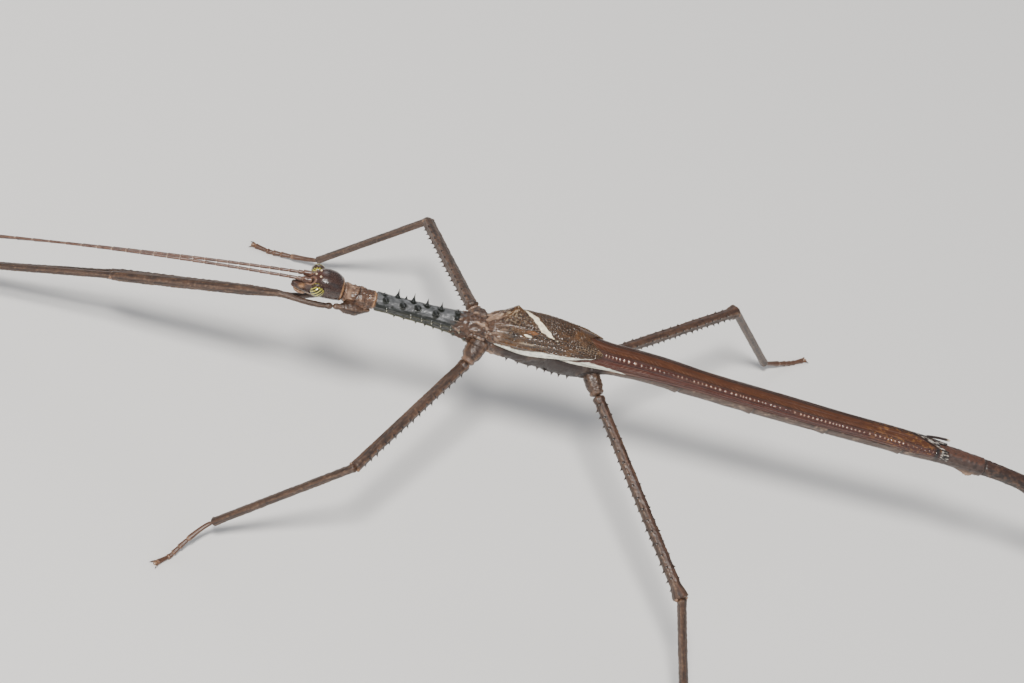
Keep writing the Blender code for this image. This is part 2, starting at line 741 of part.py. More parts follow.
def section_point(sections, x, degrees):
    """Place and outward direction on a rounded body section, at an angle from the top to the right."""
    half_width, top, bottom = (smooth_curve(sections, column, x) for column in (1, 2, 3))
    angle = math.radians(degrees)
    outward = np.array((0.0, math.sin(angle), math.cos(angle)))
    middle = (top + bottom) / 2
    return on_axis(x, half_width * outward[1], middle + (top - bottom) / 2 * outward[2]), outward


def mesothorax_spines():
    """Two rows of spines along the back and rows of small tubercles down the flanks."""
    pieces = []
    for side_name, side in SIDES.items():
        for x, length in SPINES[side_name]:
            base, outward = section_point(THORAX_SECTIONS, x, side * SPINE_ANGLE)
            radius = SPINE_RADIUS * (0.4 + 0.6 * length / 1.1)
            pieces.append(spike(base - outward * 0.05, outward, length, radius, 6, flared=True))
        for degrees, places in TUBERCLE_ROWS:
            for x in places:
                base, outward = section_point(THORAX_SECTIONS, x, side * degrees)
                pieces.append(spike(base - outward * 0.05, outward, TUBERCLE_LENGTH, TUBERCLE_RADIUS, 4))
    return pieces


def flank_teeth():
    """Teeth along the lower edge of the rear thorax on both sides."""
    pieces = []
    c, s = math.cos(math.radians(FLANK_TOOTH_ANGLE)), math.sin(math.radians(FLANK_TOOTH_ANGLE))
    for side in SIDES.values():
        for x in FLANK_TEETH:
            half_width = smooth_curve(THORAX_SECTIONS, 1, x)
            bottom = smooth_curve(THORAX_SECTIONS, 3, x)
            ledge = covered_top(x)[2]
            y = side * half_width * s**UNDERSIDE_POWER
            base = on_axis(x, y, ledge - (ledge - bottom) * abs(c) ** UNDERSIDE_POWER)
            way = np.array((0.0, side * s, c))
            pieces.append(spike(base - way * 0.1, way, FLANK_TOOTH_LENGTH, FEMUR_TOOTH_RADIUS, 4))
    return pieces


def make_abdomen(paint):
    """Nine ringed segments, the first four and most of the fifth under the wings."""
    start = ABDOMEN_START
    for number, length in enumerate(ABDOMEN_LENGTHS, start=2):
        end = start + length
        first, last = start + GAP / 2, end - GAP / 2
        places = np.linspace(first, last, 6)
        if first < HINDWING_END < last:
            step = HINDWING_END + GAP
            places = np.array((first, (first + step) / 2, step, step + 0.4, (step + last) / 2, last))
        rings = []
        for x in places:
            half_width, top, bottom = (smooth_curve(ABDOMEN_SECTIONS, column, x) for column in (1, 2, 3))
            swell = RING_SWELL * ((x - first) / length) ** 3
            half_width += swell
            bottom -= swell
            if x < HINDWING_END + GAP * 1.5:
                rings.append(covered_ring(x, half_width, bottom))
            else:
                rings.append(open_ring(x, half_width, top, bottom))
        loft(f"abdomen_segment_{number}", rings, paint)
        start = end


def open_ring(x, half_width, top, bottom):
    """Ring across the bare rear of the abdomen, with as many points as a covered one."""
    ring = []
    middle = (top + bottom) / 2
    reach = (top - bottom) / 2
    for degrees in COVERED_ANGLES:
        angle = math.radians(degrees)
        ring.append(on_axis(x, half_width * math.sin(angle), middle + reach * math.cos(angle)))
    return ring


def make_cercus(name, side, paint):
    """Short pointed clasper at the tail."""
    start = on_axis(ABDOMEN_END + GAP, side * 0.34, 0.0)
    end = on_axis(ABDOMEN_END + CERCUS_LENGTH, side * 0.5, -0.25)
    rings = limb_rings(straight(start, end, (0.0, 0.4, 0.75, 1.0)), (0.26, 0.3, 0.24, 0.08), 8)
    return loft(name, rings, paint)


fill = material("dark_tooth", (0.04, 0.03, 0.02), 0.4)
brown = material("dark_brown_cuticle", (0.10, 0.055, 0.035), 0.35)
tan = material("tan_brown_cuticle", (0.20, 0.12, 0.075), 0.45)
slate = material("slate_blue_cuticle", (0.16, 0.19, 0.21), 0.4)
eye_green = material("striped_eye", (0.35, 0.36, 0.12), 0.2)
leg_brown = material("leg_brown_cuticle", (0.13, 0.075, 0.045), 0.45)
tegmen_brown = material("netted_fore_wing", (0.12, 0.06, 0.03), 0.3)
wing_brown = material("red_brown_hind_wing", (0.20, 0.08, 0.04), 0.3)

make_head(brown)
for side_name, side in SIDES.items():
    make_eye(f"eye_{side_name}", side, eye_green)
    make_antenna(f"antenna_{side_name}", side_name, side, leg_brown)

edge = GAP / 2
rings = body_rings(THORAX_SECTIONS, PROTHORAX_START + edge, MESOTHORAX_START - edge, 6, 16)
loft("prothorax", rings, tan)
rings = body_rings(THORAX_SECTIONS, MESOTHORAX_START + edge, METATHORAX_START - edge, 10, 16)
mesothorax = loft("mesothorax", rings, slate)
fuse(mesothorax, mesothorax_spines())

rings = []
covered_places = np.linspace(26.0, ABDOMEN_START - edge, 9)
for x in (METATHORAX_START + edge, TEGMEN_START - 0.75, TEGMEN_START - GAP, *covered_places):
    half_width, top, bottom = (smooth_curve(THORAX_SECTIONS, column, x) for column in (1, 2, 3))
    if x < TEGMEN_START - 0.5:
        rings.append(open_ring(x, half_width, top, bottom))
    else:
        rings.append(covered_ring(x, half_width, bottom))
metathorax = loft("metathorax", rings, brown)
fuse(metathorax, flank_teeth())

rows_before, rows_after = TEGMEN_ROW_COUNTS
tegmen_rows = (*np.linspace(TEGMEN_START, HUMP_PLACE, rows_before),
               *np.linspace(HUMP_PLACE, TEGMEN_END, rows_after)[1:])
even_rows = np.arange(HINDWING_ROWS[-1] + HINDWING_ROW_STEP, HINDWING_END - 1, HINDWING_ROW_STEP)
hindwing_rows = (*HINDWING_ROWS, *even_rows, HINDWING_END)
for side_name, side in SIDES.items():
    make_wing(f"tegmen_{side_name}", TEGMEN_SECTIONS, tegmen_rows, TEGMEN_VEINS, side,
              tegmen_brown, hump=True)
    make_wing(f"hindwing_{side_name}", HINDWING_SECTIONS, hindwing_rows, HINDWING_VEINS, side,
              wing_brown)
make_abdomen(brown)
for side_name, side in SIDES.items():
    make_cercus(f"cercus_{side_name}", side, leg_brown)

cutters = {
    "fore": thorax_cutters(THORAX_SECTIONS, PROTHORAX_START, MESOTHORAX_START),
    "mid": thorax_cutters(THORAX_SECTIONS, MESOTHORAX_START + 6, METATHORAX_START + 6),
    "hind": thorax_cutters(THORAX_SECTIONS, METATHORAX_START + 8, ABDOMEN_START),
}
for name, spec in LEGS.items():
    make_leg(name, spec, leg_brown, cutters[name.split("_")[0]])

# The origin goes to the middle of the footprint, on the floor.
corners = np.array([tuple(vert.co) for made in bpy.data.objects for vert in made.data.vertices])
middle = (corners.min(axis=0) + corners.max(axis=0)) / 2
stance = bpy.data.objects.new("stance", None)
bpy.context.scene.collection.objects.link(stance)
for made in list(bpy.data.objects):
    if made is not stance:
        made.parent = stance
stance.location = (-middle[0], -middle[1], 0.0)
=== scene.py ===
import math

import bpy
import numpy as np
from mathutils import Matrix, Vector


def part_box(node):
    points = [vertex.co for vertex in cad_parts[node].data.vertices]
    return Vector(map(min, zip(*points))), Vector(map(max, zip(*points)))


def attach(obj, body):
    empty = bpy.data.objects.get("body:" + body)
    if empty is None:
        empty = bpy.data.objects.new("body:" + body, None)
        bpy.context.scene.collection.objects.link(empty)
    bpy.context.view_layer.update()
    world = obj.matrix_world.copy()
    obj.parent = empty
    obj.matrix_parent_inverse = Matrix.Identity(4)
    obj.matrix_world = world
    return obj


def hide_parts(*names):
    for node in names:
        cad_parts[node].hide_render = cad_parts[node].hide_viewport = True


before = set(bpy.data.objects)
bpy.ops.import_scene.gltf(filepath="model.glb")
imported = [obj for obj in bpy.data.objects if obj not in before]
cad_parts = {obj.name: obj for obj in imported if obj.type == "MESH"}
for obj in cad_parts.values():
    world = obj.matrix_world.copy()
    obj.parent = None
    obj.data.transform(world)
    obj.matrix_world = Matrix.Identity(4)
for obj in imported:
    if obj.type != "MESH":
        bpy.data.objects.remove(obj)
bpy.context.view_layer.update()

# A winged male stick insect, life size. Lengths below are millimetres from the front of the head:
# x runs to the tail, y to the animal's right, z up from the floor.
mm = 0.001
low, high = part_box("prothorax")
headToThorax = 6.45
origin = np.array((low[0] - headToThorax * mm, (low[1] + high[1]) / 2, 0.0))
sides = {"Left": -1, "Right": 1}
print("frame loaded, front of the head at", [round(float(v) / mm, 2) for v in origin])


# A screen colour turned to linear light.
def colour(r, g, b):
    c = np.array((r, g, b)) / 255
    return np.where(c <= 0.04045, c / 12.92, ((c + 0.055) / 1.055) ** 2.4)


# Share of the way from a to b, eased at both ends.
def ease(x, a, b):
    t = np.clip((x - a) / (b - a), 0, 1)
    return t * t * (3 - 2 * t)


# A bell of height one and the given half width about zero.
def bell(x, width):
    return np.exp(-(x / width) ** 2)


# One field or colour laid over another by a share.
def over(under, upper, share):
    share = np.asarray(share, float)[..., None]
    return under * (1 - share) + upper * share


# One colour over another by a field that is stretched, lifted and held between 0 and 1.
def mottle(under, upper, field, gain, lift=0.0, share=1.0):
    return over(under, upper, np.clip(lift + gain * field, 0, 1) * share)


# Screen colours laid over a tint one after another, each by its share.
def coats(tint, *layers):
    for paint, share in layers:
        tint = over(tint, colour(*paint), share)
    return tint


# An oval bell: one in the middle, with its half sizes along and across.
def oval(along, across, length, width):
    return bell(np.hypot(along / length, across / width), 1.0)


# Vectors scaled to length one.
def unit(v):
    v = np.asarray(v, float)
    return v / np.maximum(np.linalg.norm(v, axis=-1, keepdims=True), 1e-9)


# Even angles round a full turn.
def circle(count):
    return np.linspace(0, 2 * math.pi, count, endpoint=False)


# Smallest turn between two angles.
def turn(a, b):
    return (a - b + math.pi) % (2 * math.pi) - math.pi


# Smooth curve through one column of a table: cubic pieces, sloped by the table's own differences.
def curve(table, column, x):
    table = np.array(table, float)
    places, values = table[:, 0], table[:, column]
    slopes = np.gradient(values, places)
    x = np.clip(x, places[0], places[-1])
    i = np.clip(np.searchsorted(places, x) - 1, 0, len(places) - 2)
    width = places[i + 1] - places[i]
    t = (x - places[i]) / width
    start = (2 * t**3 - 3 * t**2 + 1) * values[i] + (t**3 - 2 * t**2 + t) * width * slopes[i]
    return start + (3 * t**2 - 2 * t**3) * values[i + 1] + (t**3 - t**2) * width * slopes[i + 1]


# Fixed scattered heights from 0 to 1, one for each whole-number corner.
def scatter(i, j, k, seed):
    h = np.sin(i * 12.9898 + j * 78.233 + k * 37.719 + seed * 4.581) * 43758.5453
    return h - np.floor(h)


# Soft noise about zero: scattered heights on a lattice, eased between corners, in finer and finer layers.
def noise(x, y, z=0.0, seed=1, layers=3):
    total, weight = 0.0, 0.5
    for layer in range(layers):
        i, j, k = np.floor(x), np.floor(y), np.floor(z)
        u, v, w = ease(x - i, 0, 1), ease(y - j, 0, 1), ease(z - k, 0, 1)
        for a in (0, 1):
            for b in (0, 1):
                for c in (0, 1):
                    share = (u if a else 1 - u) * (v if b else 1 - v) * (w if c else 1 - w)
                    total = total + weight * share * (scatter(i + a, j + b, k + c, seed + layer) - 0.5)
        x, y, z, weight = x * 2.03 + 3.1, y * 2.03 + 1.7, z * 2.03 + 5.3, weight * 0.5
    return total * 2


# Thin lines where a noise changes sign: one on the line, falling to zero by its sharpness.
def threads(field, sharp):
    return np.clip(1 - np.abs(field) * sharp, 0, 1)


# Net of random cells: the second nearest scattered centre less the nearest, so zero on the cell walls.
def cells(x, y, seed=1, loose=0.8):
    i, j = np.floor(x), np.floor(y)
    near = np.full(np.broadcast(x, y).shape, 9.0)
    second = near.copy()
    for a in (-1, 0, 1):
        for b in (-1, 0, 1):
            cx = i + a + 0.5 + loose * (scatter(i + a, j + b, 3, seed) - 0.5)
            cy = j + b + 0.5 + loose * (scatter(i + a, j + b, 8, seed) - 0.5)
            away = np.hypot(x - cx, y - cy)
            second = np.minimum(second, np.maximum(near, away))
            near = np.minimum(near, away)
    return second - near


# Triangles of a grid of points. A closed grid joins its last column to its first.
def gridFaces(rows, columns, closed=False):
    i, j = np.meshgrid(np.arange(rows - 1), np.arange(columns if closed else columns - 1), indexing="ij")
    a = (i * columns + j).ravel()
    b = (i * columns + (j + 1) % columns).ravel()
    return np.concatenate((np.stack((a, b, b + columns), 1), np.stack((a, b + columns, a + columns), 1)))


# A shape is points, triangles, and a colour and a roughness at each point, with its faces turned outwards.
def shape(points, faces, tint, rough):
    p = points[faces]
    if np.einsum("ij,ij->i", p[:, 0], np.cross(p[:, 1], p[:, 2])).sum() < 0:
        faces = faces[:, ::-1]
    return {"points": points, "faces": faces, "tint": tint, "rough": rough}


# A closed tube: a round grid whose two ends are closed by fans to their middle points.
def tube(grid, tint, rough):
    rows, columns = grid.shape[:2]
    tint = np.broadcast_to(tint, grid.shape)
    rough = np.broadcast_to(rough, grid.shape[:2])
    middles = (grid[0].mean(0), grid[-1].mean(0))
    j = np.arange(columns)
    k = (j + 1) % columns
    last = (rows - 1) * columns
    fans = [np.stack((k, j, np.full(columns, rows * columns)), 1),
            np.stack((last + j, last + k, np.full(columns, rows * columns + 1)), 1)]
    faces = np.concatenate((gridFaces(rows, columns, True), *fans))
    return shape(np.concatenate((grid.reshape(-1, 3), middles)), faces,
                 np.concatenate((tint.reshape(-1, 3), tint[[0, -1], 0])),
                 np.concatenate((rough.ravel(), rough[[0, -1], 0])))


# Unit normals of a grid of points, from its steps along and across.
def normals(grid):
    return unit(np.cross(np.gradient(grid, axis=0), np.gradient(grid, axis=1)))


# A thin closed shell: a grid, a coarser one moved in by its thickness along the normals, and a rim that
# joins each inner edge to a step of outer edges. Rows and columns are one more than a multiple of the step.
def shell(grid, thickness, tint, rough, inwards, step=4):
    n = normals(grid)
    if (n * inwards).sum() < 0:
        n = -n
    inner = (grid + n * thickness[..., None])[::step, ::step]
    rims = []
    for rows, columns in (grid.shape[:2], inner.shape[:2]):
        index = np.arange(rows * columns).reshape(rows, columns)
        rims.append(np.concatenate((index[:-1, 0], index[-1, :-1], index[:0:-1, -1], index[0, :0:-1])))
    size = grid.shape[0] * grid.shape[1]
    outerRim, innerRim = rims[0], rims[1] + size
    k, m = np.arange(len(outerRim)), np.arange(len(innerRim))
    nearest = innerRim[(k + step // 2) // step % len(innerRim)]
    band = np.concatenate((np.stack((np.roll(outerRim, -1), outerRim, nearest), 1),
                           np.stack((outerRim[step * m + step // 2], innerRim, np.roll(innerRim, -1)), 1)))
    faces = np.concatenate((gridFaces(*grid.shape[:2]), gridFaces(*inner.shape[:2])[:, ::-1] + size, band))
    return shape(np.concatenate((grid.reshape(-1, 3), inner.reshape(-1, 3))), faces,
                 np.concatenate((tint.reshape(-1, 3), tint[::step, ::step].reshape(-1, 3))),
                 np.concatenate((rough.ravel(), rough[::step, ::step].ravel())))


# A profile carried along a path: each point lies at its reach from the path, at its angle from level to up.
def sweep(path, reach, lift=1.0):
    along = unit(np.gradient(path, axis=0))
    across = unit(np.cross(along, (0, 0, 1)))
    above = np.cross(across, along)
    angle = circle(reach.shape[1])
    c, s = np.cos(angle)[None, :, None], np.sin(angle)[None, :, None] * lift
    return path[:, None] + reach[..., None] * (c * across[:, None] + s * above[:, None])


# An egg: half sizes times the sine and cosine of two angles, about a place.
def egg(place, half, rows, columns):
    polar = np.linspace(0.12, math.pi - 0.12, rows)[:, None]
    around = circle(columns)[None]
    local = np.stack((np.sin(polar) * np.cos(around), np.sin(polar) * np.sin(around),
                      np.cos(polar) + 0 * around), -1)
    return local * half + np.asarray(place, float)


# Many cones at once: the radius falls from a flared foot to the tip. Gives their rings of points, and the
# share of the way up at each ring.
def cones(bases, ways, lengths, radii, flare, around, levels):
    bases, ways = np.atleast_2d(bases).astype(float), unit(np.atleast_2d(ways))
    sideways = unit(np.cross(ways, (1.0, 0.31, 0.12)))
    third = np.cross(ways, sideways)
    t = np.linspace(0, 1, levels)
    profile = (0.35 * (1 - t) ** 0.7 + 0.65 * (1 - t) ** (1 + flare)) * (1 - t**8) + 0.004
    angle = circle(around)
    lengths = np.broadcast_to(lengths, len(bases))[:, None, None]
    radii = np.broadcast_to(radii, len(bases))[:, None, None, None]
    ring = (np.cos(angle)[None, None, :, None] * sideways[:, None, None]
            + np.sin(angle)[None, None, :, None] * third[:, None, None])
    middle = bases[:, None] + ways[:, None] * t[None, :, None] * lengths
    return middle[:, :, None] + ring * profile[None, :, None, None] * radii, t


# Puts shapes together as one mesh piece that rides with the animal and stands for CAD nodes.
def piece(name, shapes, finish, nodes=()):
    counts = np.cumsum([0] + [len(s["points"]) for s in shapes])
    points = np.concatenate([s["points"] for s in shapes]) * mm + origin
    faces = np.concatenate([s["faces"] + n for s, n in zip(shapes, counts)])
    tint = np.clip(np.concatenate([s["tint"] for s in shapes]), 0, 1)
    rough = np.concatenate([s["rough"] for s in shapes])
    mesh = bpy.data.meshes.new(name)
    mesh.vertices.add(len(points))
    mesh.vertices.foreach_set("co", points.astype(np.float32).ravel())
    mesh.loops.add(faces.size)
    mesh.loops.foreach_set("vertex_index", faces.astype(np.int32).ravel())
    mesh.polygons.add(len(faces))
    mesh.polygons.foreach_set("loop_start", np.arange(0, faces.size, 3, dtype=np.int32))
    mesh.polygons.foreach_set("use_smooth", np.ones(len(faces), bool))
    mesh.update(calc_edges=True)
    mesh.validate()
    shade = mesh.attributes.new("tint", "FLOAT_COLOR", "POINT")
    shade.data.foreach_set("color", np.column_stack((tint, np.ones(len(tint)))).astype(np.float32).ravel())
    matt = mesh.attributes.new("matt", "FLOAT", "POINT")
    matt.data.foreach_set("value", rough.astype(np.float32))
    mesh.materials.append(finish)
    made = bpy.data.objects.new(name, mesh)
    bpy.context.scene.collection.objects.link(made)
    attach(made, "root")
    if nodes:
        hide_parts(*nodes)
    print(name, len(faces), "triangles")
    return made


# Fills the inputs of a shading node: a socket is linked, anything else is a value.
def fill(tree, made, inputs):
    for key, value in inputs.items():
        if isinstance(value, bpy.types.NodeSocket):
            tree.links.new(value, made.inputs[key])
        else:
            made.inputs[key].default_value = value


# A new shading node with its inputs filled.
def node(tree, kind, inputs, operation=""):
    made = tree.nodes.new("ShaderNode" + kind)
    if operation:
        made.operation = operation
    fill(tree, made, inputs)
    return made


# Insect cuticle: the painted colour and roughness of each point, broken up by fine noise, with a raised
# grain of specks and pits.
def cuticle(name, grain, depth, patchy, coat=0.0, stretch=(1, 1, 1)):
    made = bpy.data.materials.new(name)
    made.use_nodes = True
    tree = made.node_tree
    place = node(tree, "TexCoord", {}).outputs["Object"]
    place = node(tree, "Mapping", {"Vector": place, "Scale": stretch}).outputs["Vector"]
    tint, matt = node(tree, "Attribute", {}), node(tree, "Attribute", {})
    tint.attribute_name, matt.attribute_name = "tint", "matt"
    patches = node(tree, "TexNoise", {"Vector": place, "Scale": 2600, "Detail": 4}).outputs["Fac"]
    speck = node(tree, "TexNoise", {"Vector": place, "Scale": grain, "Detail": 3}).outputs["Fac"]
    pits = node(tree, "TexVoronoi", {"Vector": place, "Scale": grain * 0.8}).outputs["Distance"]
    shade = node(tree, "MapRange", {"Value": patches, "From Min": 0.3, "From Max": 0.7,
                                    "To Min": 1 - patchy, "To Max": 1 + patchy}).outputs["Result"]
    painted = node(tree, "VectorMath", {0: tint.outputs["Color"], "Scale": shade}, "SCALE")
    dull = node(tree, "Math", {0: speck, 1: 0.22, 2: matt.outputs["Fac"]}, "MULTIPLY_ADD")
    height = node(tree, "Math", {0: pits, 1: 0.6, 2: speck}, "MULTIPLY_ADD")
    bump = node(tree, "Bump", {"Strength": 0.7, "Distance": depth * mm, "Height": height.outputs["Value"]})
    fill(tree, tree.nodes["Principled BSDF"], {
        "Base Color": painted.outputs["Vector"], "Roughness": dull.outputs["Value"],
        "Normal": bump.outputs["Normal"], "Specular IOR Level": 0.6, "Coat Weight": coat,
        "Coat Roughness": 0.14})
    return made


# name, grain, depth in millimetres, patchiness, coat, stretch
skinFinish = cuticle("bodyCuticle", 9000, 0.025, 0.2, 0.12)
tegmenFinish = cuticle("foreWingFinish", 7000, 0.015, 0.25, 0.4)
wingFinish = cuticle("hindWingFinish", 7000, 0.02, 0.2, 0.25, (0.35, 1, 1))
legFinish = cuticle("legCuticle", 8000, 0.03, 0.25, 0.08)
eyeFinish = cuticle("eyeFinish", 16000, 0.01, 0.05, 0.6)
hornFinish = cuticle("spineHorn", 9000, 0.008, 0.1, 0.5)

body = {
    # place, height
    "axis": ((0.0, 28.0), (42.0, 28.0), (50.0, 27.82), (60.0, 27.4), (70.0, 27.0), (80.0, 26.72),
             (88.0, 26.3), (93.0, 25.85), (97.0, 25.2), (102.0, 24.1), (108.0, 22.85), (116.0, 21.4)),
    # place, half width, top and bottom measured from the axis
    "sections": (
        (0.0, 0.14, -0.28, -0.60), (0.12, 0.26, -0.18, -0.78), (0.35, 0.36, -0.08, -0.92),
        (0.9, 0.60, 0.28, -1.12), (1.5, 0.88, 0.85, -1.20), (2.1, 1.18, 1.50, -1.22),
        (3.2, 1.62, 2.34, -1.15), (4.5, 1.74, 2.44, -1.02), (5.6, 1.56, 2.04, -0.98),
        (6.2, 1.30, 1.52, -0.92), (6.7, 1.18, 1.12, -1.00), (8.0, 1.24, 1.12, -1.22),
        (10.4, 1.12, 1.00, -1.15), (14.0, 1.12, 1.00, -1.28), (16.4, 1.16, 1.02, -1.40),
        (18.7, 1.22, 1.08, -1.68), (21.3, 1.42, 1.26, -2.10), (22.7, 1.58, 1.40, -2.45),
        (24.1, 1.80, 1.55, -2.70), (27.0, 2.15, 1.60, -2.98), (31.5, 2.42, 1.60, -3.45),
        (36.0, 2.58, 1.60, -3.60), (38.8, 2.35, 1.60, -3.00), (40.4, 1.95, 1.60, -1.85),
        (43.5, 1.74, 1.70, -1.40), (50.4, 1.64, 1.65, -1.57), (60.5, 1.60, 1.60, -1.64),
        (70.7, 1.50, 1.50, -1.54), (81.1, 1.44, 1.45, -1.47), (88.0, 1.22, 1.10, -1.20),
        (91.0, 1.20, 1.05, -1.35), (93.0, 1.08, 0.96, -1.05), (97.0, 0.98, 0.95, -0.95),
        (100.0, 1.05, 0.95, -1.00), (104.3, 1.30, 1.05, -1.20), (108.0, 1.22, 1.00, -1.20),
        (110.3, 0.86, 0.72, -0.86), (111.1, 0.30, 0.25, -0.45)),
    "joints": (50.4, 60.5, 70.7, 81.1, 92.6, 99.9, 104.3, 107.9),
    "wingsFrom": 24.4, "wingsTo": 84.8, "foreWingTo": 33.0,
    # rows of points: first and last place, count
    "rows": ((0.0, 41.0, 520), (41.1, 84.0, 250), (84.1, 111.1, 240)),
    "around": 96,
}
tegmen = {
    # place, half width, ridge and side edge measured from the axis
    "sections": ((24.2, 1.80, 1.72, -0.45), (25.2, 1.86, 1.95, -0.62), (27.5, 2.20, 2.90, -0.74),
                 (29.5, 2.50, 3.60, -0.52), (32.5, 2.60, 3.75, 0.15), (35.5, 2.52, 3.32, 0.85),
                 (38.0, 2.25, 2.78, 1.25), (40.2, 1.90, 2.36, 1.40)),
    "hump": {"place": 27.1, "height": 2.42, "length": 1.34, "width": 1.1, "round": 0.12},
    "start": 24.25, "rows": 481, "columns": 177, "wall": 0.2,
    # where the rear margin lies, by share from the midline to the side edge
    "rear": ((-0.4, 36.1), (-0.15, 36.85), (0.15, 38.0), (0.48, 39.25), (0.62, 39.45), (0.8, 39.2),
             (0.93, 38.6), (1.0, 37.9)),
    # cream stripe: share across, place along, half width along
    "stripe": ((-0.10, 28.5, 0.5), (0.0, 29.15, 0.85), (0.13, 30.1, 0.95), (0.27, 30.85, 1.0),
               (0.39, 31.6, 0.98), (0.46, 32.25, 0.62), (0.52, 33.15, 0.05)),
    # where the white side band begins across, by place along
    "white": ((24.2, 1.04), (25.3, 1.03), (26.2, 0.98), (27.8, 0.945), (29.5, 0.915), (31.6, 0.878),
              (35.3, 0.905), (38.4, 0.955), (40.0, 0.99)),
    # long veins: share across and bend; then dark blots: place, share across, half length, half width
    "veins": ((0.26, 0.12), (0.44, 0.10), (0.60, 0.06), (0.74, 0.0), (0.87, 0.0)),
    "blots": ((27.84, 0.617, 0.8, 0.07), (26.6, 0.548, 0.7, 0.06)),
    # cream spot and orange patch, in the same order
    "spot": (29.48, 0.566, 0.68, 0.028), "patch": (29.9, 0.462, 0.9, 0.05),
}
hindWing = {
    # place, half width, ridge and side edge measured from the axis
    "sections": ((33.0, 2.20, 3.30, 0.10), (36.0, 2.22, 2.90, -0.08), (38.5, 2.00, 2.42, -0.12),
                 (40.4, 1.88, 2.18, -0.06), (43.5, 1.88, 2.20, 0.15), (47.0, 1.86, 2.12, 0.35),
                 (53.0, 1.70, 1.72, 0.40), (63.5, 1.66, 1.66, 0.35), (74.0, 1.54, 1.54, 0.32),
                 (84.0, 1.50, 1.50, 0.30), (87.6, 1.34, 1.40, 0.30)),
    "start": 33.0, "rows": 901, "columns": 97, "wall": 0.16,
    # share across of the main vein, by place along
    "vein": ((33.0, 0.26), (39.0, 0.28), (52.0, 0.32), (58.0, 0.357), (63.5, 0.387), (69.0, 0.41),
             (80.0, 0.44), (88.0, 0.46)),
    # where the tip lies, by share across; then where the white side patch begins across, by place
    "tip": ((-0.36, 83.7), (0.33, 86.9), (1.0, 87.3)),
    "white": ((33.0, 0.95), (36.3, 0.942), (38.0, 0.835), (39.6, 0.869), (42.0, 0.93), (43.3, 1.02)),
    # tear in the side margin: place, share across, half length, half width
    "tear": (73.6, 0.885, 0.5, 0.03), "rungGap": 0.60,
    # rolled front vein of the right wing: place and length, side and spread, height and bow
    "rolled": ((83.6, 3.6), (0.55, 0.45), (1.62, 0.12)), "rolledRadius": 0.17,
}


# A point offset y and z from the sagging body axis at x: the offset is square to the axis there.
def onAxis(x, y, z):
    slope = (curve(body["axis"], 1, x + 0.01) - curve(body["axis"], 1, x - 0.01)) / 0.02
    size = np.hypot(1, slope)
    x, y, z = np.broadcast_arrays(x, y, z)
    return np.stack((x - z * slope / size, y, curve(body["axis"], 1, x) + z / size), -1)


# Body section at x: a rounded oval by angle from the top towards the right. Under the wings the upper
# half is a smaller arch that stands on a ledge, and the flanks drop from the ledge in a squarer curve.
def bodyPoint(x, angle, relief=0.0):
    x, angle = np.broadcast_arrays(x, angle)
    s, c = np.sin(angle), np.cos(angle)
    wide, top, bottom = (curve(body["sections"], k, x) for k in (1, 2, 3))
    reach = (np.abs(s / wide) ** 2.2 + np.abs(2 * c / (top - bottom)) ** 2.2) ** (-1 / 2.2)
    y, z = reach * s, (top + bottom) / 2 + reach * c
    covered = ease(x, body["wingsFrom"], body["wingsFrom"] + 0.9)
    covered = covered * (1 - ease(x, body["wingsTo"] - 0.6, body["wingsTo"] + 0.4))
    front = 1 - ease(x, body["foreWingTo"], body["foreWingTo"] + 1.5)
    archWide, archTop, ledge = (curve(tegmen["sections"], k, x) * front
                                + curve(hindWing["sections"], k, x) * (1 - front) - inset
                                for k, inset in ((1, 0.42), (2, 0.5), (3, 0.12)))
    lower = c < 0
    yUnder = np.where(lower, wide * np.sign(s) * np.abs(s) ** 0.8, archWide * s)
    zUnder = np.where(lower, ledge - (ledge - bottom) * np.abs(c) ** 0.8, ledge + (archTop - ledge) * c)
    y, z = y + (yUnder - y) * covered, z + (zUnder - z) * covered
    return onAxis(x, y + relief * s, z + relief * c)


spines = {
    # place, degrees from the top, length
    "Left": ((11.6, 28, 0.70), (13.83, 34, 1.1), (15.68, 26, 1.1), (18.03, 32, 1.1), (20.74, 29, 0.75)),
    "Right": ((11.36, 22, 0.35), (13.09, 36, 1.1), (14.2, 42, 0.45), (15.06, 21, 1.1), (16.79, 12, 1.0),
              (18.6, 9, 0.95), (20.74, 3, 0.6)),
    # size of the spines, and the degrees from straight up that they lean to their side
    "radius": 0.42, "longest": 1.1, "lean": 46,
    # degrees from the top and places of the knobs down the flank, then of the blunt teeth under the wings
    "knobs": ((84, (12.1, 15.2, 16.6, 17.9, 19.1, 20.4, 21.5)),
              (121, (13.3, 14.55, 16.1, 17.3, 18.4, 19.6, 21.0, 22.5))),
    "knobLength": 0.44, "knobRadius": 0.30,
    "teeth": (28.4, 29.9, 31.3, 32.5, 33.5, 34.45, 35.4, 36.5), "teethAngle": 138, "toothLength": 0.5,
    "toothRadius": 0.25,
}
horn = {"dark": colour(20, 23, 19), "glint": colour(92, 104, 108), "knob": colour(40, 42, 34),
        "knobTip": colour(196, 190, 164), "tooth": colour(44, 30, 24)}
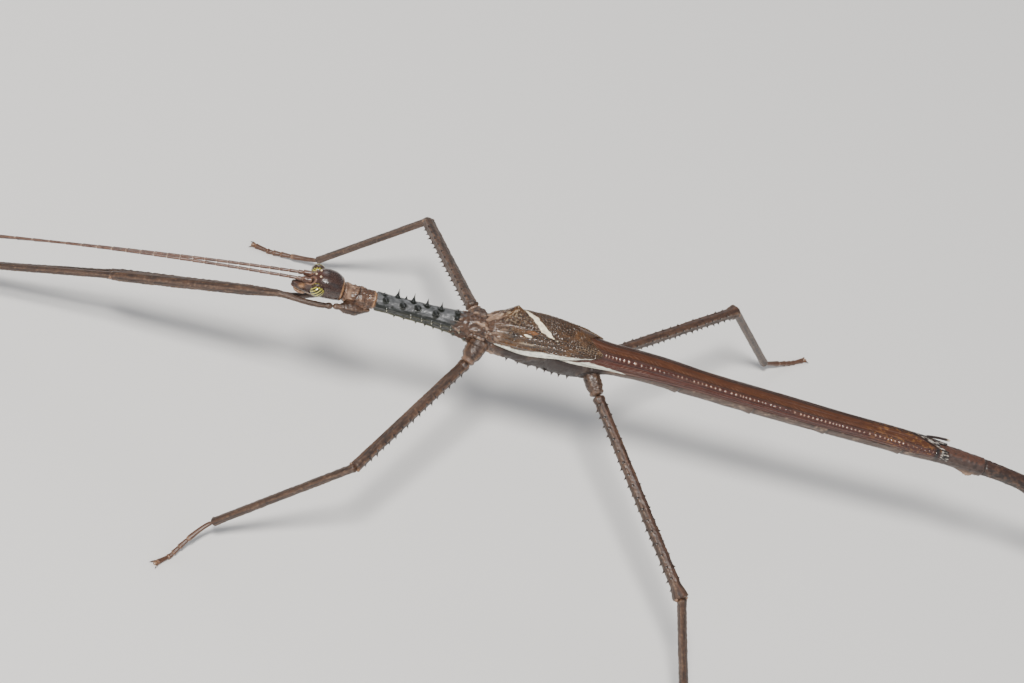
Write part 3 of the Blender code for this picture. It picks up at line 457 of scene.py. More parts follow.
paints = {
    "head": colour(54, 37, 32), "headDark": colour(28, 19, 17), "headLight": colour(92, 70, 62),
    "collar": colour(170, 126, 86), "tan": colour(92, 66, 50), "tanPale": colour(174, 140, 114),
    "tanDark": colour(36, 22, 17), "slate": colour(76, 77, 78), "slateHighlight": colour(134, 136, 138),
    "slateDark": colour(22, 26, 22), "olive": colour(92, 88, 54), "brown": colour(80, 56, 41),
    "brownPale": colour(180, 150, 126), "brownDark": colour(32, 19, 14), "pleura": colour(34, 20, 15),
    "abdomen": colour(82, 64, 54), "abdomenDark": colour(38, 26, 21), "rust": colour(100, 56, 34),
    "mauve": colour(66, 50, 44), "cream": colour(246, 234, 204), "white": colour(236, 236, 220),
    "face": colour(74, 49, 39),
}
# Places along the body, some with degrees from the top or with an end.
marks = {
    "bump": (1.15, 66), "feeler": (2.0, 30), "rise": 2.75, "cheek": 131, "collar": 6.0, "neck": 6.36,
    "foreThorax": (6.26, 6.42), "lobe": (6.95, 45), "waist": 8.35, "hip": (8.7, 122), "rim": 10.28,
    "midThorax": (10.44, 10.6), "seam": 10.52, "line": 82, "keel": 121, "brown": (20.5, 21.7),
    "wingRoot": 23.9, "hindBody": (26.0, 28.0), "hips": (39, 41), "tail": (40.0, 41.2),
    # sutures of the flank with their slants, then the sixth segment's ends and the dark segments' start
    "sutures": ((33.2, -1.5), (37.9, 1.2)), "sixth": ((84.6, 86.0), (92.3, 92.6)), "last": (92.5, 92.8),
    "fringe": 90.8,
}
places = np.concatenate([np.linspace(*span) for span in body["rows"]])[:, None]
angles = circle(body["around"])[None]


# Noise on the body's skin, by its scales along and round the body.
def field(lengthwise, crosswise, seed):
    y, z = 1.3 * np.sin(angles) + 0 * places, 1.3 * np.cos(angles) + 0 * places
    return noise(places * lengthwise, y * crosswise, z * crosswise, seed=seed)


# Head and fore thorax: streaked glossy capsule with a pale cheek line and collar, then wrinkled tan cuticle.
def frontFinish(x, angle, fine):
    p, m = paints, marks
    away = np.degrees(np.abs(turn(angle, 0)))
    streak = field(0.8, 8, 21)
    tint = mottle(p["head"], p["headLight"], fine, 1.2, 0.3, 0.35)
    tint = mottle(tint, p["headDark"], streak, 2.2, 0, 0.7)
    relief = 0.02 * streak * ease(x, 2.6, 3.4)
    # face ahead of the eyes, with the raised pale line along the cheek and a pale bump beside the jaw
    face = 1 - ease(x, 1.6, 2.6)
    pocked = field(3.5, 3.5, 23)
    tint = over(tint, mottle(p["head"], p["face"], pocked, 2, 0.4), face * 0.85)
    cheek = bell(away - m["cheek"], 4) * ease(x, 0.1, 0.4) * (1 - ease(x, 2.7, 3.3))
    bump = oval(x - m["bump"][0], away - m["bump"][1], 0.3, 22)
    tint = over(over(tint, colour(206, 172, 138), cheek * 0.8), p["collar"], bump * 0.8)
    relief = relief + face * 0.07 * pocked + 0.05 * cheek + 0.10 * bump
    # raised rings where the feelers leave, and the reddish rise that bears the simple eyes
    ring = np.hypot(x - m["feeler"][0], (away - m["feeler"][1]) / 42)
    rise = oval(x - m["rise"], away, 0.5, 28)
    tint = coats(tint, ((168, 128, 104), bell(ring - 0.46, 0.08) * 0.7), ((28, 19, 17), bell(ring, 0.3)),
                 ((84, 46, 36), rise * 0.6))
    relief = relief + 0.07 * bell(ring - 0.46, 0.1) - 0.08 * bell(ring, 0.3) + 0.05 * rise
    # ragged pale collar and the groove behind it
    rim = bell(x - m["collar"] - 0.10 * fine - 0.05 * np.cos(3 * angle), 0.11)
    tint = mottle(tint, p["collar"], fine, 1, 0.75, rim)
    relief = relief + 0.07 * rim - 0.18 * bell(x - m["neck"], 0.13)
    # wrinkled fore thorax: painted highlights on the crinkles, painted shade in the grooves
    thorax = ease(x, *m["foreThorax"])
    swell, crinkle, tiny = field(1.5, 2.4, 7), field(3.4, 4.2, 8), field(7, 7, 9)
    grooves = np.maximum(threads(swell, 9), 0.7 * threads(crinkle, 7))
    tanned = mottle(p["tan"], p["tanPale"], 2.6 * crinkle + 1.4 * swell, 1, -0.2, 0.55)
    lobe = bell(x - m["lobe"][0], 0.32) * bell(away - m["lobe"][1], 34)
    hip = bell(x - m["hip"][0], 1.2) * bell(away - m["hip"][1], 34)
    waist = bell(x - m["waist"] + 0.5 * np.sin(angle) ** 2, 0.15)
    rear = bell(x - m["rim"], 0.11)
    for paint, share in (("tanDark", grooves * 0.85), ("tanPale", lobe * 0.7), ("tanDark", waist * 0.8),
                         ("collar", rear * 0.8)):
        tanned = over(tanned, p[paint], share)
    folds = (0.15 * swell + 0.13 * crinkle + 0.04 * tiny - 0.08 * grooves - 0.12 * waist + 0.09 * lobe
             + 0.30 * hip + 0.07 * rear + 0.05 * bell(x - 6.6, 0.12))
    relief = relief + thorax * folds - 0.18 * bell(x - m["seam"], 0.12)
    return relief, over(tint, tanned, thorax), 0.15 + 0.04 * fine + 0.05 * thorax


# Mid thorax: slate back streaked with painted highlights, dark flanks with a raised pale line, brown folded
# rear.
def middleFinish(x, angle, fine):
    p, m = paints, marks
    away = np.degrees(np.abs(turn(angle, 0)))
    # pale strands on the slate back and on the dark flanks are painted highlight streaks
    strand, cloud = field(0.8, 5, 31), field(1.4, 1.6, 33)
    tint = mottle(p["slate"], p["slateHighlight"], strand, 2.0, 0.2, 0.65)
    tint = mottle(tint, p["slateDark"], cloud, -2.2, -0.1, 0.6)
    flank = ease(away + 16 * fine, 52, 64)
    tint = over(tint, mottle(p["slateDark"], p["slate"], strand, 3, -0.3, 0.6), flank)
    # dark round feet of the spines
    reach = curve(body["sections"], 1, x)
    for sideName, side in sides.items():
        for at, degrees, length in spines[sideName]:
            gap = np.hypot(x - at, reach * turn(angle, math.radians(side * degrees)))
            tint = over(tint, colour(26, 29, 23), 1 - ease(gap, 0.34 + 0.1 * length, 0.44 + 0.1 * length))
    line = bell(away - m["line"] - 6 * field(0.9, 0, 35), 3.5)
    keel = bell(away - m["keel"], 7)
    olive = line * 0.35 * ease(x, 13, 16) + keel * 0.7 + ease(away, 126, 150) * 0.5
    tint = over(tint, p["olive"], olive.clip(0, 1))
    relief = 0.06 * strand + 0.05 * fine + 0.07 * line + 0.12 * keel - 0.05 * bell(away - 60, 6)
    # brown rear, its folds drawn out to the wing roots, with painted highlights and shade on them
    rear = ease(x + 1.6 * fine + 0.5 * np.sin(angle) ** 2, *m["brown"])
    fold, crease = field(1.0, 4.2, 41), field(2.1, 5, 43)
    browned = mottle(p["brown"], p["brownPale"], 3.0 * fold + 1.6 * crease, 1, -0.3, 0.6)
    browned = over(browned, p["brownDark"], np.maximum(threads(fold, 7), 0.6 * threads(crease, 6)) * 0.9)
    folds = 0.32 * fold + 0.15 * crease + 0.04 * field(6, 7, 45) - 0.08 * threads(fold, 6)
    relief = relief + rear * folds
    relief = relief - 0.12 * bell(x - m["wingRoot"] - 0.15 * fine, 0.15) * ease(-np.cos(angle), 0.0, 0.5)
    return relief, over(tint, browned, rear), 0.24 + 0.05 * fine


# Flanks under the wings, then the grey-brown ringed abdomen with its rusty and dark rear segments.
def rearFinish(x, angle, fine):
    p, m = paints, marks
    up, flank = np.cos(angle), np.abs(np.sin(angle))
    ribs = field(0.8, 1.8, 51)
    tint = mottle(p["pleura"], p["brownPale"], ribs, 2.0, -0.15, 0.14)
    tint = over(tint, p["brownDark"], threads(ribs, 7) * 0.6)
    sutures = sum(bell(x - at - slant * (up + 0.5), 0.22) for at, slant in m["sutures"])
    ribbed = 0.22 * ribs + 0.06 * fine - 0.07 * threads(ribs, 6) - 0.12 * sutures
    tail = ease(x, *m["tail"])
    strand = field(0.35, 6, 61)
    grey = mottle(p["abdomen"], p["abdomenDark"], strand, 2.2, 0.2, 0.75)
    tint = over(tint, mottle(grey, p["brownPale"], field(2.2, 4, 63), 2.6, -0.45, 0.5), tail)
    relief = (1 - ease(x, *m["hips"])) * ribbed + tail * (0.07 * strand + 0.03 * fine)
    # sixth segment rusty above and mauve at the side, then darker mottled segments
    mottled = field(2.4, 2.6, 65)
    sixth = ease(x, *m["sixth"][0]) * (1 - ease(x, *m["sixth"][1]))
    tint = over(tint, mottle(p["mauve"], p["abdomenDark"], mottled, 2.4, 0.3, 0.7), sixth)
    tint = over(tint, p["rust"], sixth * ease(up + 0.4 * fine, 0.80, 0.95) * 0.4)
    last = ease(x, *m["last"])
    tint = over(tint, mottle(p["abdomenDark"], p["tan"], mottled, 2.4, 0.1, 0.65), last)
    tint = over(tint, p["rust"], last * ease(up, 0.6, 0.95) * 0.15)
    relief = relief + (sixth + last) * 0.06 * mottled
    # each ring swells towards its rear joint, most at the flanks, and a dark groove follows
    for joint in body["joints"]:
        swell = 0.20 * np.clip(1 + (x - joint) / 1.6, 0, 1) ** 2 * ease(x, joint + 0.02, joint - 0.10)
        relief = relief + swell * (0.35 + 0.65 * flank * (up < 0.3)) - 0.12 * bell(x - joint - 0.1, 0.12)
        tint = over(tint, p["abdomenDark"], bell(x - joint - 0.1, 0.18) * 0.85)
    # ragged tan fringe on the sixth segment's lower edge
    fringe = bell(x - m["fringe"], 1.1) * bell(up + 0.62, 0.28)
    relief = relief + fringe * (0.30 + 0.25 * noise(x * 5, 1.3 * np.sin(angle), seed=67))
    return relief, over(tint, p["tanPale"], fringe * 0.8), 0.46 - 0.10 * tail + 0.05 * fine


fine = field(3.1, 3.1, 3)
relief, tint, rough = frontFinish(places, angles, fine)
for finish, span in ((middleFinish, marks["midThorax"]), (rearFinish, marks["hindBody"])):
    nextRelief, nextTint, nextRough = finish(places, angles, fine)
    share = ease(places, *span) + 0 * angles
    relief, rough = relief + (nextRelief - relief) * share, rough + (nextRough - rough) * share
    tint = over(tint, nextTint, share)
skin = tube(bodyPoint(places, angles, relief + 0.012 * field(9, 9, 5)), tint, rough)
bodyNodes = ["head", "prothorax", "mesothorax", "metathorax"]
bodyNodes += [f"abdomen_segment_{n}" for n in range(2, 11)]
piece("bodySkin", [skin], skinFinish, bodyNodes)

head = {
    "eye": (2.9, 1.6, 28.88), "eyeHalf": (0.90, 0.86, 0.84), "pole": (0.62, 0.25, -0.55), "bands": 17.0,
    "ocelli": ((2.45, 2.0), (2.95, -17.0), (2.95, 17.0)), "ocellusHalf": (0.15, 0.15, 0.12),
    "palps": {"outer": ((1.9, 0.5, 26.85), (1.35, 0.5, 26.66), (0.85, 0.44, 26.7), (0.5, 0.34, 26.85)),
              "inner": ((1.5, 0.16, 26.8), (1.0, 0.17, 26.66), (0.65, 0.14, 26.72), (0.42, 0.1, 26.88))},
    "palpRadius": 0.2, "lip": (0.42, 0.0, 27.2), "lipHalf": (0.42, 0.36, 0.34),
}

# Compound eye: an egg, banded by the distance from a pole low at the rear, paler and greener at its rim.
for sideName, side in sides.items():
    place = np.array(head["eye"]) * (1, side, 1)
    grid = egg(place, head["eyeHalf"], 80, 120)
    local = (grid - place) / head["eyeHalf"]
    pole = np.array(head["pole"]) * (1, side, 1)
    away = np.arccos(np.clip(local @ pole / np.linalg.norm(pole), -1, 1))
    wobble = noise(*(np.moveaxis(grid, -1, 0) * 2.5), seed=71)
    bands = 0.5 + 0.5 * np.cos(away * head["bands"] + 0.8 * wobble)
    green = mottle(colour(168, 158, 58), colour(206, 196, 104), wobble, 2, 0.5)
    outer = np.abs(local[..., 1])
    tint = coats(green, ((14, 13, 8), ease(bands, 0.20, 0.40)),
                 ((150, 144, 52), bell(outer - 0.42, 0.06) * 0.9),
                 ((60, 44, 34), 1 - ease(outer, 0.2, 0.34)))
    piece("eye" + sideName, [tube(grid, tint, np.full(grid.shape[:2], 0.06))], eyeFinish,
          ("eye_" + sideName.lower(),))

# Three simple eyes: small eggs on the head's skin.
extras = []
for x, degrees in head["ocelli"]:
    place = bodyPoint(np.array(x), np.array(math.radians(degrees)), 0.05)
    extras.append(tube(egg(place, head["ocellusHalf"], 14, 20), colour(206, 182, 146), 0.08))
piece("simpleEyes", extras, eyeFinish)

# Mouthparts: palps as beaded tubes and a small upper lip.
mouth = []
for joints in head["palps"].values():
    for side in sides.values():
        knots = np.array(joints) * (1, side, 1)
        t = np.linspace(0, 3, 60)
        path = np.stack([np.interp(t, range(4), knots[:, k]) for k in range(3)], 1)
        kernel = np.ones(9) / 9
        path[4:-4] = np.stack([np.convolve(path[:, k], kernel, "valid") for k in range(3)], 1)
        beads = head["palpRadius"] * (1 - 0.04 * t) * (0.80 + 0.20 * np.abs(np.sin(math.pi * (t - 0.03))))
        beads = (beads * np.sqrt(1 - (t / 3.02) ** 8))[:, None] * np.ones((1, 18))
        pale = over(colour(90, 58, 44), colour(176, 136, 104), (0.75 * bell((t % 1) - 0.5, 0.5))[:, None])
        mouth.append(tube(sweep(path, beads), np.broadcast_to(pale, (60, 18, 3)), 0.25))
grid = egg(head["lip"], head["lipHalf"], 30, 40)
shade = over(colour(70, 42, 34), colour(170, 126, 96), bell(grid[..., 2] - 27.05, 0.1))
mouth.append(tube(grid, shade, 0.2))
piece("mouthparts", mouth, skinFinish)

feeler = {
    "root": (2.1, 0.55, 29.2), "tips": {"Left": (-45.6, 6.0, 13.5), "Right": (-45.2, 6.9, 12.1)},
    "bows": {"Left": (-0.2, 1.2), "Right": (-0.4, 1.25)},
    "radius": 0.21, "baseRadius": 0.36, "secondRadius": 0.28,
    "baseLength": 1.15, "secondLength": 0.65, "firstJoint": 1.1, "lastJoint": 2.6,
}


# Feeler: a bowed line carrying a stout first joint, a bead, then slim joints that swell towards their ends.
def feelerTube(sideName, side):
    f = feeler
    root, tip = np.array(f["root"]) * (1, side, 1), np.array(f["tips"][sideName])
    length = np.linalg.norm(tip - root)
    joints = [0.0, f["baseLength"], f["baseLength"] + f["secondLength"]]
    while joints[-1] < length:
        grown = (f["lastJoint"] - f["firstJoint"]) * joints[-1] / length
        joints.append(joints[-1] + f["firstJoint"] + grown)
    joints = np.array(joints)
    s = np.concatenate((np.linspace(0, 2.6, 60), np.linspace(2.65, length, 700)))
    t = s / length
    path = root * (1 - t[:, None]) + tip * t[:, None]
    path = path + np.array((0, *f["bows"][sideName])) * (4 * t * (1 - t))[:, None]
    k = np.clip(np.searchsorted(joints, s, side="right") - 1, 0, len(joints) - 2)
    span = joints[k + 1] - joints[k]
    share = (s - joints[k]) / span
    slim = f["radius"] * (1.08 - 0.42 * t)
    radius = np.where(k == 0, f["baseRadius"], np.where(k == 1, f["secondRadius"], slim))
    radius = radius * (0.86 + 0.10 * ease(share, 0, 0.7) + 0.10 * bell(share - 0.9, 0.07))
    radius = radius * (0.72 + 0.28 * ease(np.minimum(share, 1 - share) * span, 0, 0.09))
    radius = radius * np.sqrt(np.clip(1 - ((s - length + 0.3).clip(0) / 0.3) ** 2, 0.02, 1))
    angle = circle(16)
    grid = sweep(path, radius[:, None] * (1 + 0.03 * np.cos(3 * angle)[None]))
    speckle = noise(s[:, None] * 2, angle[None], seed=81)
    tint = mottle(colour(70, 44, 34), colour(112, 80, 64), speckle, 1, 0.4)
    pale = (bell(share - 0.02, 0.03) + bell(share - 0.99, 0.03)).clip(0, 1)[:, None] * np.ones((1, 16))
    return tube(grid, over(tint, colour(168, 138, 114), pale * 0.6), 0.2)


for sideName, side in sides.items():
    shapes = [feelerTube(sideName, side)]
    piece("feeler" + sideName, shapes, legFinish, ("antenna_" + sideName.lower(),))
print("head done")


# Cones on the skin at places and signed degrees, pointing at their lean. The form is flare, points round
# and levels; the shade goes from the first paint to the second between two shares of the way up.
def studs(x, degrees, lean, lengths, radii, form, shades, shares):
    x = np.asarray(x, float)
    angle, lean = np.radians(degrees) + 0 * x, np.radians(lean) + 0 * x
    way = np.stack((0 * x, np.sin(lean), np.cos(lean)), -1)
    grids, t = cones(bodyPoint(x, angle) - way * 0.08, way, lengths, radii, *form)
    shade = over(*shades, ease(t, *shares)[:, None])
    return [tube(grid, np.broadcast_to(shade, grid.shape), 0.26) for grid in grids]


horns, knobs = [], []
for sideName, side in sides.items():
    x, degrees, length = np.array(spines[sideName]).T
    radii = spines["radius"] * (0.5 + 0.5 * length / spines["longest"])
    horns += studs(x, side * degrees, side * spines["lean"], length + 0.08, radii, (2.4, 24, 18),
                   (horn["dark"], horn["glint"]), (0.5, 1.4))
    for degrees, spots in spines["knobs"]:
        x = np.array(spots) + 0.1 * side
        size = spines["knobLength"] + 0.16 * scatter(np.arange(len(x)), 2, 5, 9)
        knobs += studs(x, side * degrees, side * degrees, size, spines["knobRadius"], (1.0, 14, 9),
                       (horn["knob"], horn["knobTip"]), (0.45, 0.9))
    turned = side * spines["teethAngle"]
    knobs += studs(spines["teeth"], turned, turned, spines["toothLength"], spines["toothRadius"],
                   (1.2, 14, 9), (horn["tooth"], horn["tooth"]), (0, 1))
piece("thoraxSpines", horns, hornFinish)
piece("thoraxKnobs", knobs, hornFinish)
print("spines done")

# The left wings lie over the right ones: they reach past the midline and are lifted there, while the
# right ones start beside it and lie lower.
overlap = {"reach": -0.36, "start": 0.01, "lift": 0.10, "wall": 0.12, "drop": 0.08}


# Arch of a folded wing: across the midline angle runs from the ridge down to the side edge.
def wingPoint(sections, x, v, side, relief=0.0, hump=None):
    wide, ridge, edge = (curve(sections, k, x) for k in (1, 2, 3))
    angle = v * math.pi / 2
    y = (wide + relief) * np.sin(angle)
    z = edge + (ridge + relief - edge) * np.cos(angle).clip(0) ** 0.9
    if hump:
        away = np.hypot((x - hump["place"]) / hump["length"], y / hump["width"])
        z = z + hump["height"] * np.exp(hump["round"] - np.hypot(away, hump["round"]))
    return onAxis(x, side * y, z)


# Height and wall of the overlapping part: the left wing is lifted near the midline, the right one is
# dropped and plain there.
def lapped(v, side, relief, wall):
    near = 1 - ease(v, 0.0, 0.14)
    if side < 0:
        return relief + overlap["lift"] * near, wall + (overlap["wall"] - wall) * near
    return relief * ease(v, 0.3, 0.45) - overlap["drop"], wall + 0 * v


# Shares along and across a folded wing.
def wingShares(g, side):
    v = np.linspace(overlap["reach"] if side < 0 else overlap["start"], 1, g["columns"])[None]
    return np.linspace(0, 1, g["rows"])[:, None], v


# Noise on a wing's sheet: fields by their scales along and across and their seed.
def sheetNoise(x, arc, *fields):
    return [noise(x * along, arc * across, seed=seed) for along, across, seed in fields]


# Closed shell of a wing, on its arch and with its overlap.
def wingShell(g, x, v, side, relief, tint, rough, hump=None):
    relief, wall = lapped(v, side, relief, g["wall"])
    grid = wingPoint(g["sections"], x, v, side, relief, hump)
    return shell(grid, wall, tint, rough, np.array((0, -side * 0.5, -1)))


# Fore wing: an oval flap of the arch, netted with raised cell walls and long veins, and a peaked hump.
def tegmenShell(side):
    g = tegmen
    u, v = wingShares(g, side)
    end = np.interp(v, *np.array(g["rear"]).T)
    x = g["start"] + (end - g["start"]) * u
    v = v + 0 * u
    arc = v * 4.6
    net = cells(x * 2.5, arc * 2.9 + 0.3 * x, seed=5 + side, loose=0.85)
    wall, fineWall = bell(net, 0.12), bell(cells(x * 5.2, arc * 5.6, seed=9 + side), 0.15)
    veins = sum(bell(v - lane - bend * (u - 0.4) ** 2 - 0.02 * np.sin(7 * u + lane * 9), 0.02)
                for lane, bend in g["veins"]).clip(0, 1)
    cloud, wrinkle, crinkle, fold, speckle, ragged, streaks = sheetNoise(
        x, arc, (0.9, 1.3, 23), (1.1, 5, 25), (2.6, 4, 19), (0.8, 1.5, 41), (5, 6, 20), (2.2, 2.2, 27),
        (0.7, 12, 29))
    fade = ease(u, 0, 0.03) * (1 - 0.5 * ease(u, 0.97, 1.0))
    relief = fade * (0.05 * wall + 0.025 * fineWall + 0.10 * veins + 0.05 * cloud)
    # crinkled rise about the hump
    peak = oval(x - g["hump"]["place"], v, 1.5, 0.42)
    relief = relief * (1 - 0.5 * peak) + peak * 0.12 * crinkle
    tint = mottle(colour(42, 28, 15), colour(92, 60, 27), cloud, 2.0, 0.05, 0.65)
    tint = over(tint, colour(110, 76, 46), (0.42 * wall + 0.15 * fineWall + 0.15 * veins).clip(0, 1))
    for place, lane, length, width in g["blots"]:
        tint = over(tint, colour(26, 16, 12), oval(x - place, v - lane, length, width) * 0.8)
    # folds of the body's rear carried on to the wing root: painted highlights and shade on them
    root = 1 - ease(x + 0.8 * cloud, 25.2, 27.4)
    folded = mottle(paints["brown"], paints["brownPale"], 3 * fold + crinkle, 1, -0.3, 0.6)
    tint = over(tint, over(folded, paints["brownDark"], threads(fold, 7) * 0.8), root)
    relief = relief + root * (0.16 * fold + 0.06 * crinkle)
    # painted highlights: whitish glints painted on the creases about the hump, in front of the spot and on
    # the rear
    pale = peak * np.clip(3.0 * speckle - 0.1, 0, 1)
    crease = bell(v - 0.755, 0.03) * ease(x, 28.4, 29.2) * (1 - ease(x, 31.2, 32.2))
    pale = pale + crease * ease(wrinkle, -0.1, 0.25)
    pale = pale + 0.5 * ease(x, 35.2, 36.2) * bell(v - 0.52, 0.14) * wall
    tint = over(tint, colour(190, 170, 142), pale.clip(0, 1) * 0.6)
    # cream stripe, spot and orange patch; the right wing shows only the stripe's side end
    ragged = 0.5 * ragged
    stripeV, stripeX, stripeHalf = np.array(g["stripe"]).T
    middle, half = np.interp(v, stripeV, stripeX), np.interp(v, stripeV, stripeHalf)
    cream = ease(0.74 * half + ragged - np.abs(x - middle), 0, 0.10)
    cream = cream * ease(v, -0.12, -0.08) * (1 - ease(v, 0.51, 0.53))
    if side > 0:
        cream = cream * ease(v, 0.36, 0.40)
    place, lane, length, width = g["spot"]
    slanted = v - lane - 0.02 * (x - 29.5)
    spot = ease(1 - np.hypot((x - place) / length, slanted / width) + ragged, 0, 0.25)
    place, lane, length, width = g["patch"]
    patch = ease(1 - np.hypot((x - place) / length, (v - lane) / width) + ragged, 0, 0.5)
    tint = over(tint, colour(124, 76, 30), patch * 0.8)
    creamy = mottle(paints["cream"], colour(206, 180, 138), wrinkle, 1.6, 0, 0.6)
    tint = over(tint, creamy, (cream + spot).clip(0, 1))
    # streaked white band along the side margin
    border = np.interp(x, *np.array(g["white"]).T) + 0.02 * noise(x * 2.2, 0 * v, seed=28)
    costal = ease(v, border - 0.012, border + 0.012)
    band = mottle(paints["white"], colour(132, 128, 112), streaks, 2.2, -0.15, 0.7)
    white = (cream + spot + costal).clip(0, 1)
    relief = relief * (1 - 0.55 * white) + 0.05 * white + 0.04 * costal * streaks
    # the rear margin and the root sink towards the body
    relief = relief - 0.24 * ease(u, 0.82, 1.0) - 0.45 * (1 - ease(x, 24.2, 25.3))
    rough = 0.10 + 0.24 * white + 0.04 * cloud
    return wingShell(g, x, v, side, relief, over(tint, band, costal), rough, g["hump"])


# Hind wing: the long folded arch with lengthwise veins, a row of short cross veins, and a frayed dark tip.
def hindWingShell(side):
    g = hindWing
    u, v = wingShares(g, side)
    end = np.interp(v, *np.array(g["tip"]).T) + 0.5 * noise(v * 9, 0 * v, seed=33 + side, layers=2)
    x = g["start"] + (end - g["start"]) * u
    v = v + 0 * u
    arc = v * 3.0
    wander = 0.012 * np.sin(x * 0.3) + 0.02 * noise(x * 0.25, 0 * v, seed=34)
    vein = np.interp(x, *np.array(g["vein"]).T) + 0.5 * wander
    past = v - vein
    ridges = sum(height * bell(gap, width) for gap, width, height in (
        (past, 0.018, 0.07), (past - 0.31, 0.018, 0.05), (v - 0.91 - wander, 0.02, 0.06),
        (v + 0.17 - wander, 0.018, 0.05), (v + 0.05 - wander, 0.012, 0.03)))
    # cross veins: bowed, unevenly spaced rungs in the band below the main vein, fainter ones beyond
    phase = x / g["rungGap"] + 1.3 * noise(x * 0.4, 0 * v, seed=35) + 14 * (past - 0.15) ** 2
    rungs = (0.5 + 0.5 * np.cos(2 * math.pi * phase)) ** 6
    glintStrength = np.clip(0.55 + 2.4 * noise(x * 0.8, 3 * v, seed=36), 0.05, 1)
    rung = rungs * (bell(past - 0.15, 0.05) + 0.12 * bell(past + 0.12, 0.06)
                    + 0.25 * bell(past - 0.42, 0.05) * (1 - ease(x, 44, 48)))
    pleats, grit, patches, streaks, specks, crumple, dull = sheetNoise(
        x, arc, (0.15, 7, 37), (4, 4, 39), (0.5, 4, 43), (0.8, 14, 45), (3, 5, 47), (2.4, 4, 48), (2, 3, 49))
    relief = ridges + 0.07 * rung + 0.05 * pleats + 0.012 * grit
    tint = over(colour(74, 41, 22), colour(64, 31, 22), ease(past, 0.0, 0.05))
    tint = coats(tint, ((40, 25, 17), (1 - ease(v, -0.14, 0.0)) * 0.7),
                 ((92, 56, 30), np.clip(1.8 * patches, 0, 1) * 0.35),
                 ((78, 42, 32), ease(past, 0.28, 0.34) * 0.6))
    for gap, width, share in ((past + 0.025, 0.014, 0.9), (past - 0.035, 0.02, 0.6),
                              (past - 0.29, 0.012, 0.7), (v - 0.885 - wander, 0.012, 0.8),
                              (v + 0.195 - wander, 0.018, 0.9), (v + 0.07 - wander, 0.01, 0.6)):
        tint = over(tint, colour(24, 13, 10), bell(gap, width) * share)
    # painted highlights: pale glints on the cross veins, stronger in some stretches
    tint = over(tint, colour(216, 178, 154), (rung * glintStrength * 0.9).clip(0, 1))
    tint = mottle(tint, colour(128, 94, 70), pleats, 2, 0.4, bell(v - 0.94, 0.03) * 0.5)
    # streaked white patch on the side margin near the root
    border = np.interp(x, *np.array(g["white"]).T) + 0.02 * noise(x * 2.5, 0 * v, seed=44)
    white = ease(v, border - 0.015, border + 0.015)
    tint = over(tint, mottle(paints["white"], colour(126, 116, 100), streaks, 2.4, -0.2, 0.7), white)
    # gold specks near the tip, a dark slanting band, and a greyish crumpled film beyond it with painted
    # glints
    tint = mottle(tint, colour(150, 104, 52), specks, 3, -0.35, ease(x, 74, 79) * 0.5)
    dark = 81.8 + 3.6 * ease(v, -0.3, 0.4)
    film = ease(x, dark + 0.5, dark + 0.9)
    tint = over(tint, mottle(colour(30, 24, 21), colour(178, 170, 160), crumple, 2.4, 0.05), film)
    place, lane, length, width = g["tear"]
    tear = oval(x - place, v - lane, length, width)
    tint = coats(tint, ((14, 11, 10), bell(x - dark - 0.2, 0.42) * 0.95), ((28, 16, 12), tear * 0.8))
    relief = relief * (1 - 0.5 * film) + 0.07 * film * crumple
    rough = 0.10 + 0.24 * white + 0.22 * ease(v, 0.72, 0.95) + 0.05 * dull
    return wingShell(g, x, v, side, relief, tint, rough)


# Rolled front vein, standing free at the tip: a bowed tube that is pale at its end.
def rolledVein():
    g = hindWing
    (place, length), (beside, spread), (height, bow) = g["rolled"]
    t = np.linspace(0, 1, 50)
    path = onAxis(place + length * t, beside + spread * t, height + bow * np.sin(math.pi * t))
    reach = g["rolledRadius"] * np.sqrt(1 - (2 * t - 1) ** 10 * 0.98)[:, None] * np.ones((1, 14))
    ends = ease(t, 0.8, 0.95)[:, None] * np.ones((1, 14))
    return tube(sweep(path, reach), over(colour(38, 24, 18), colour(214, 196, 170), ends), 0.2)


for sideName, side in sides.items():
    small = sideName.lower()
    piece("foreWing" + sideName, [tegmenShell(side)], tegmenFinish, ("tegmen_" + small,))
    hindShapes = [hindWingShell(side)] + ([rolledVein()] if side > 0 else [])
    piece("hindWing" + sideName, hindShapes, wingFinish, ("hindwing_" + small,))
print("wings done")

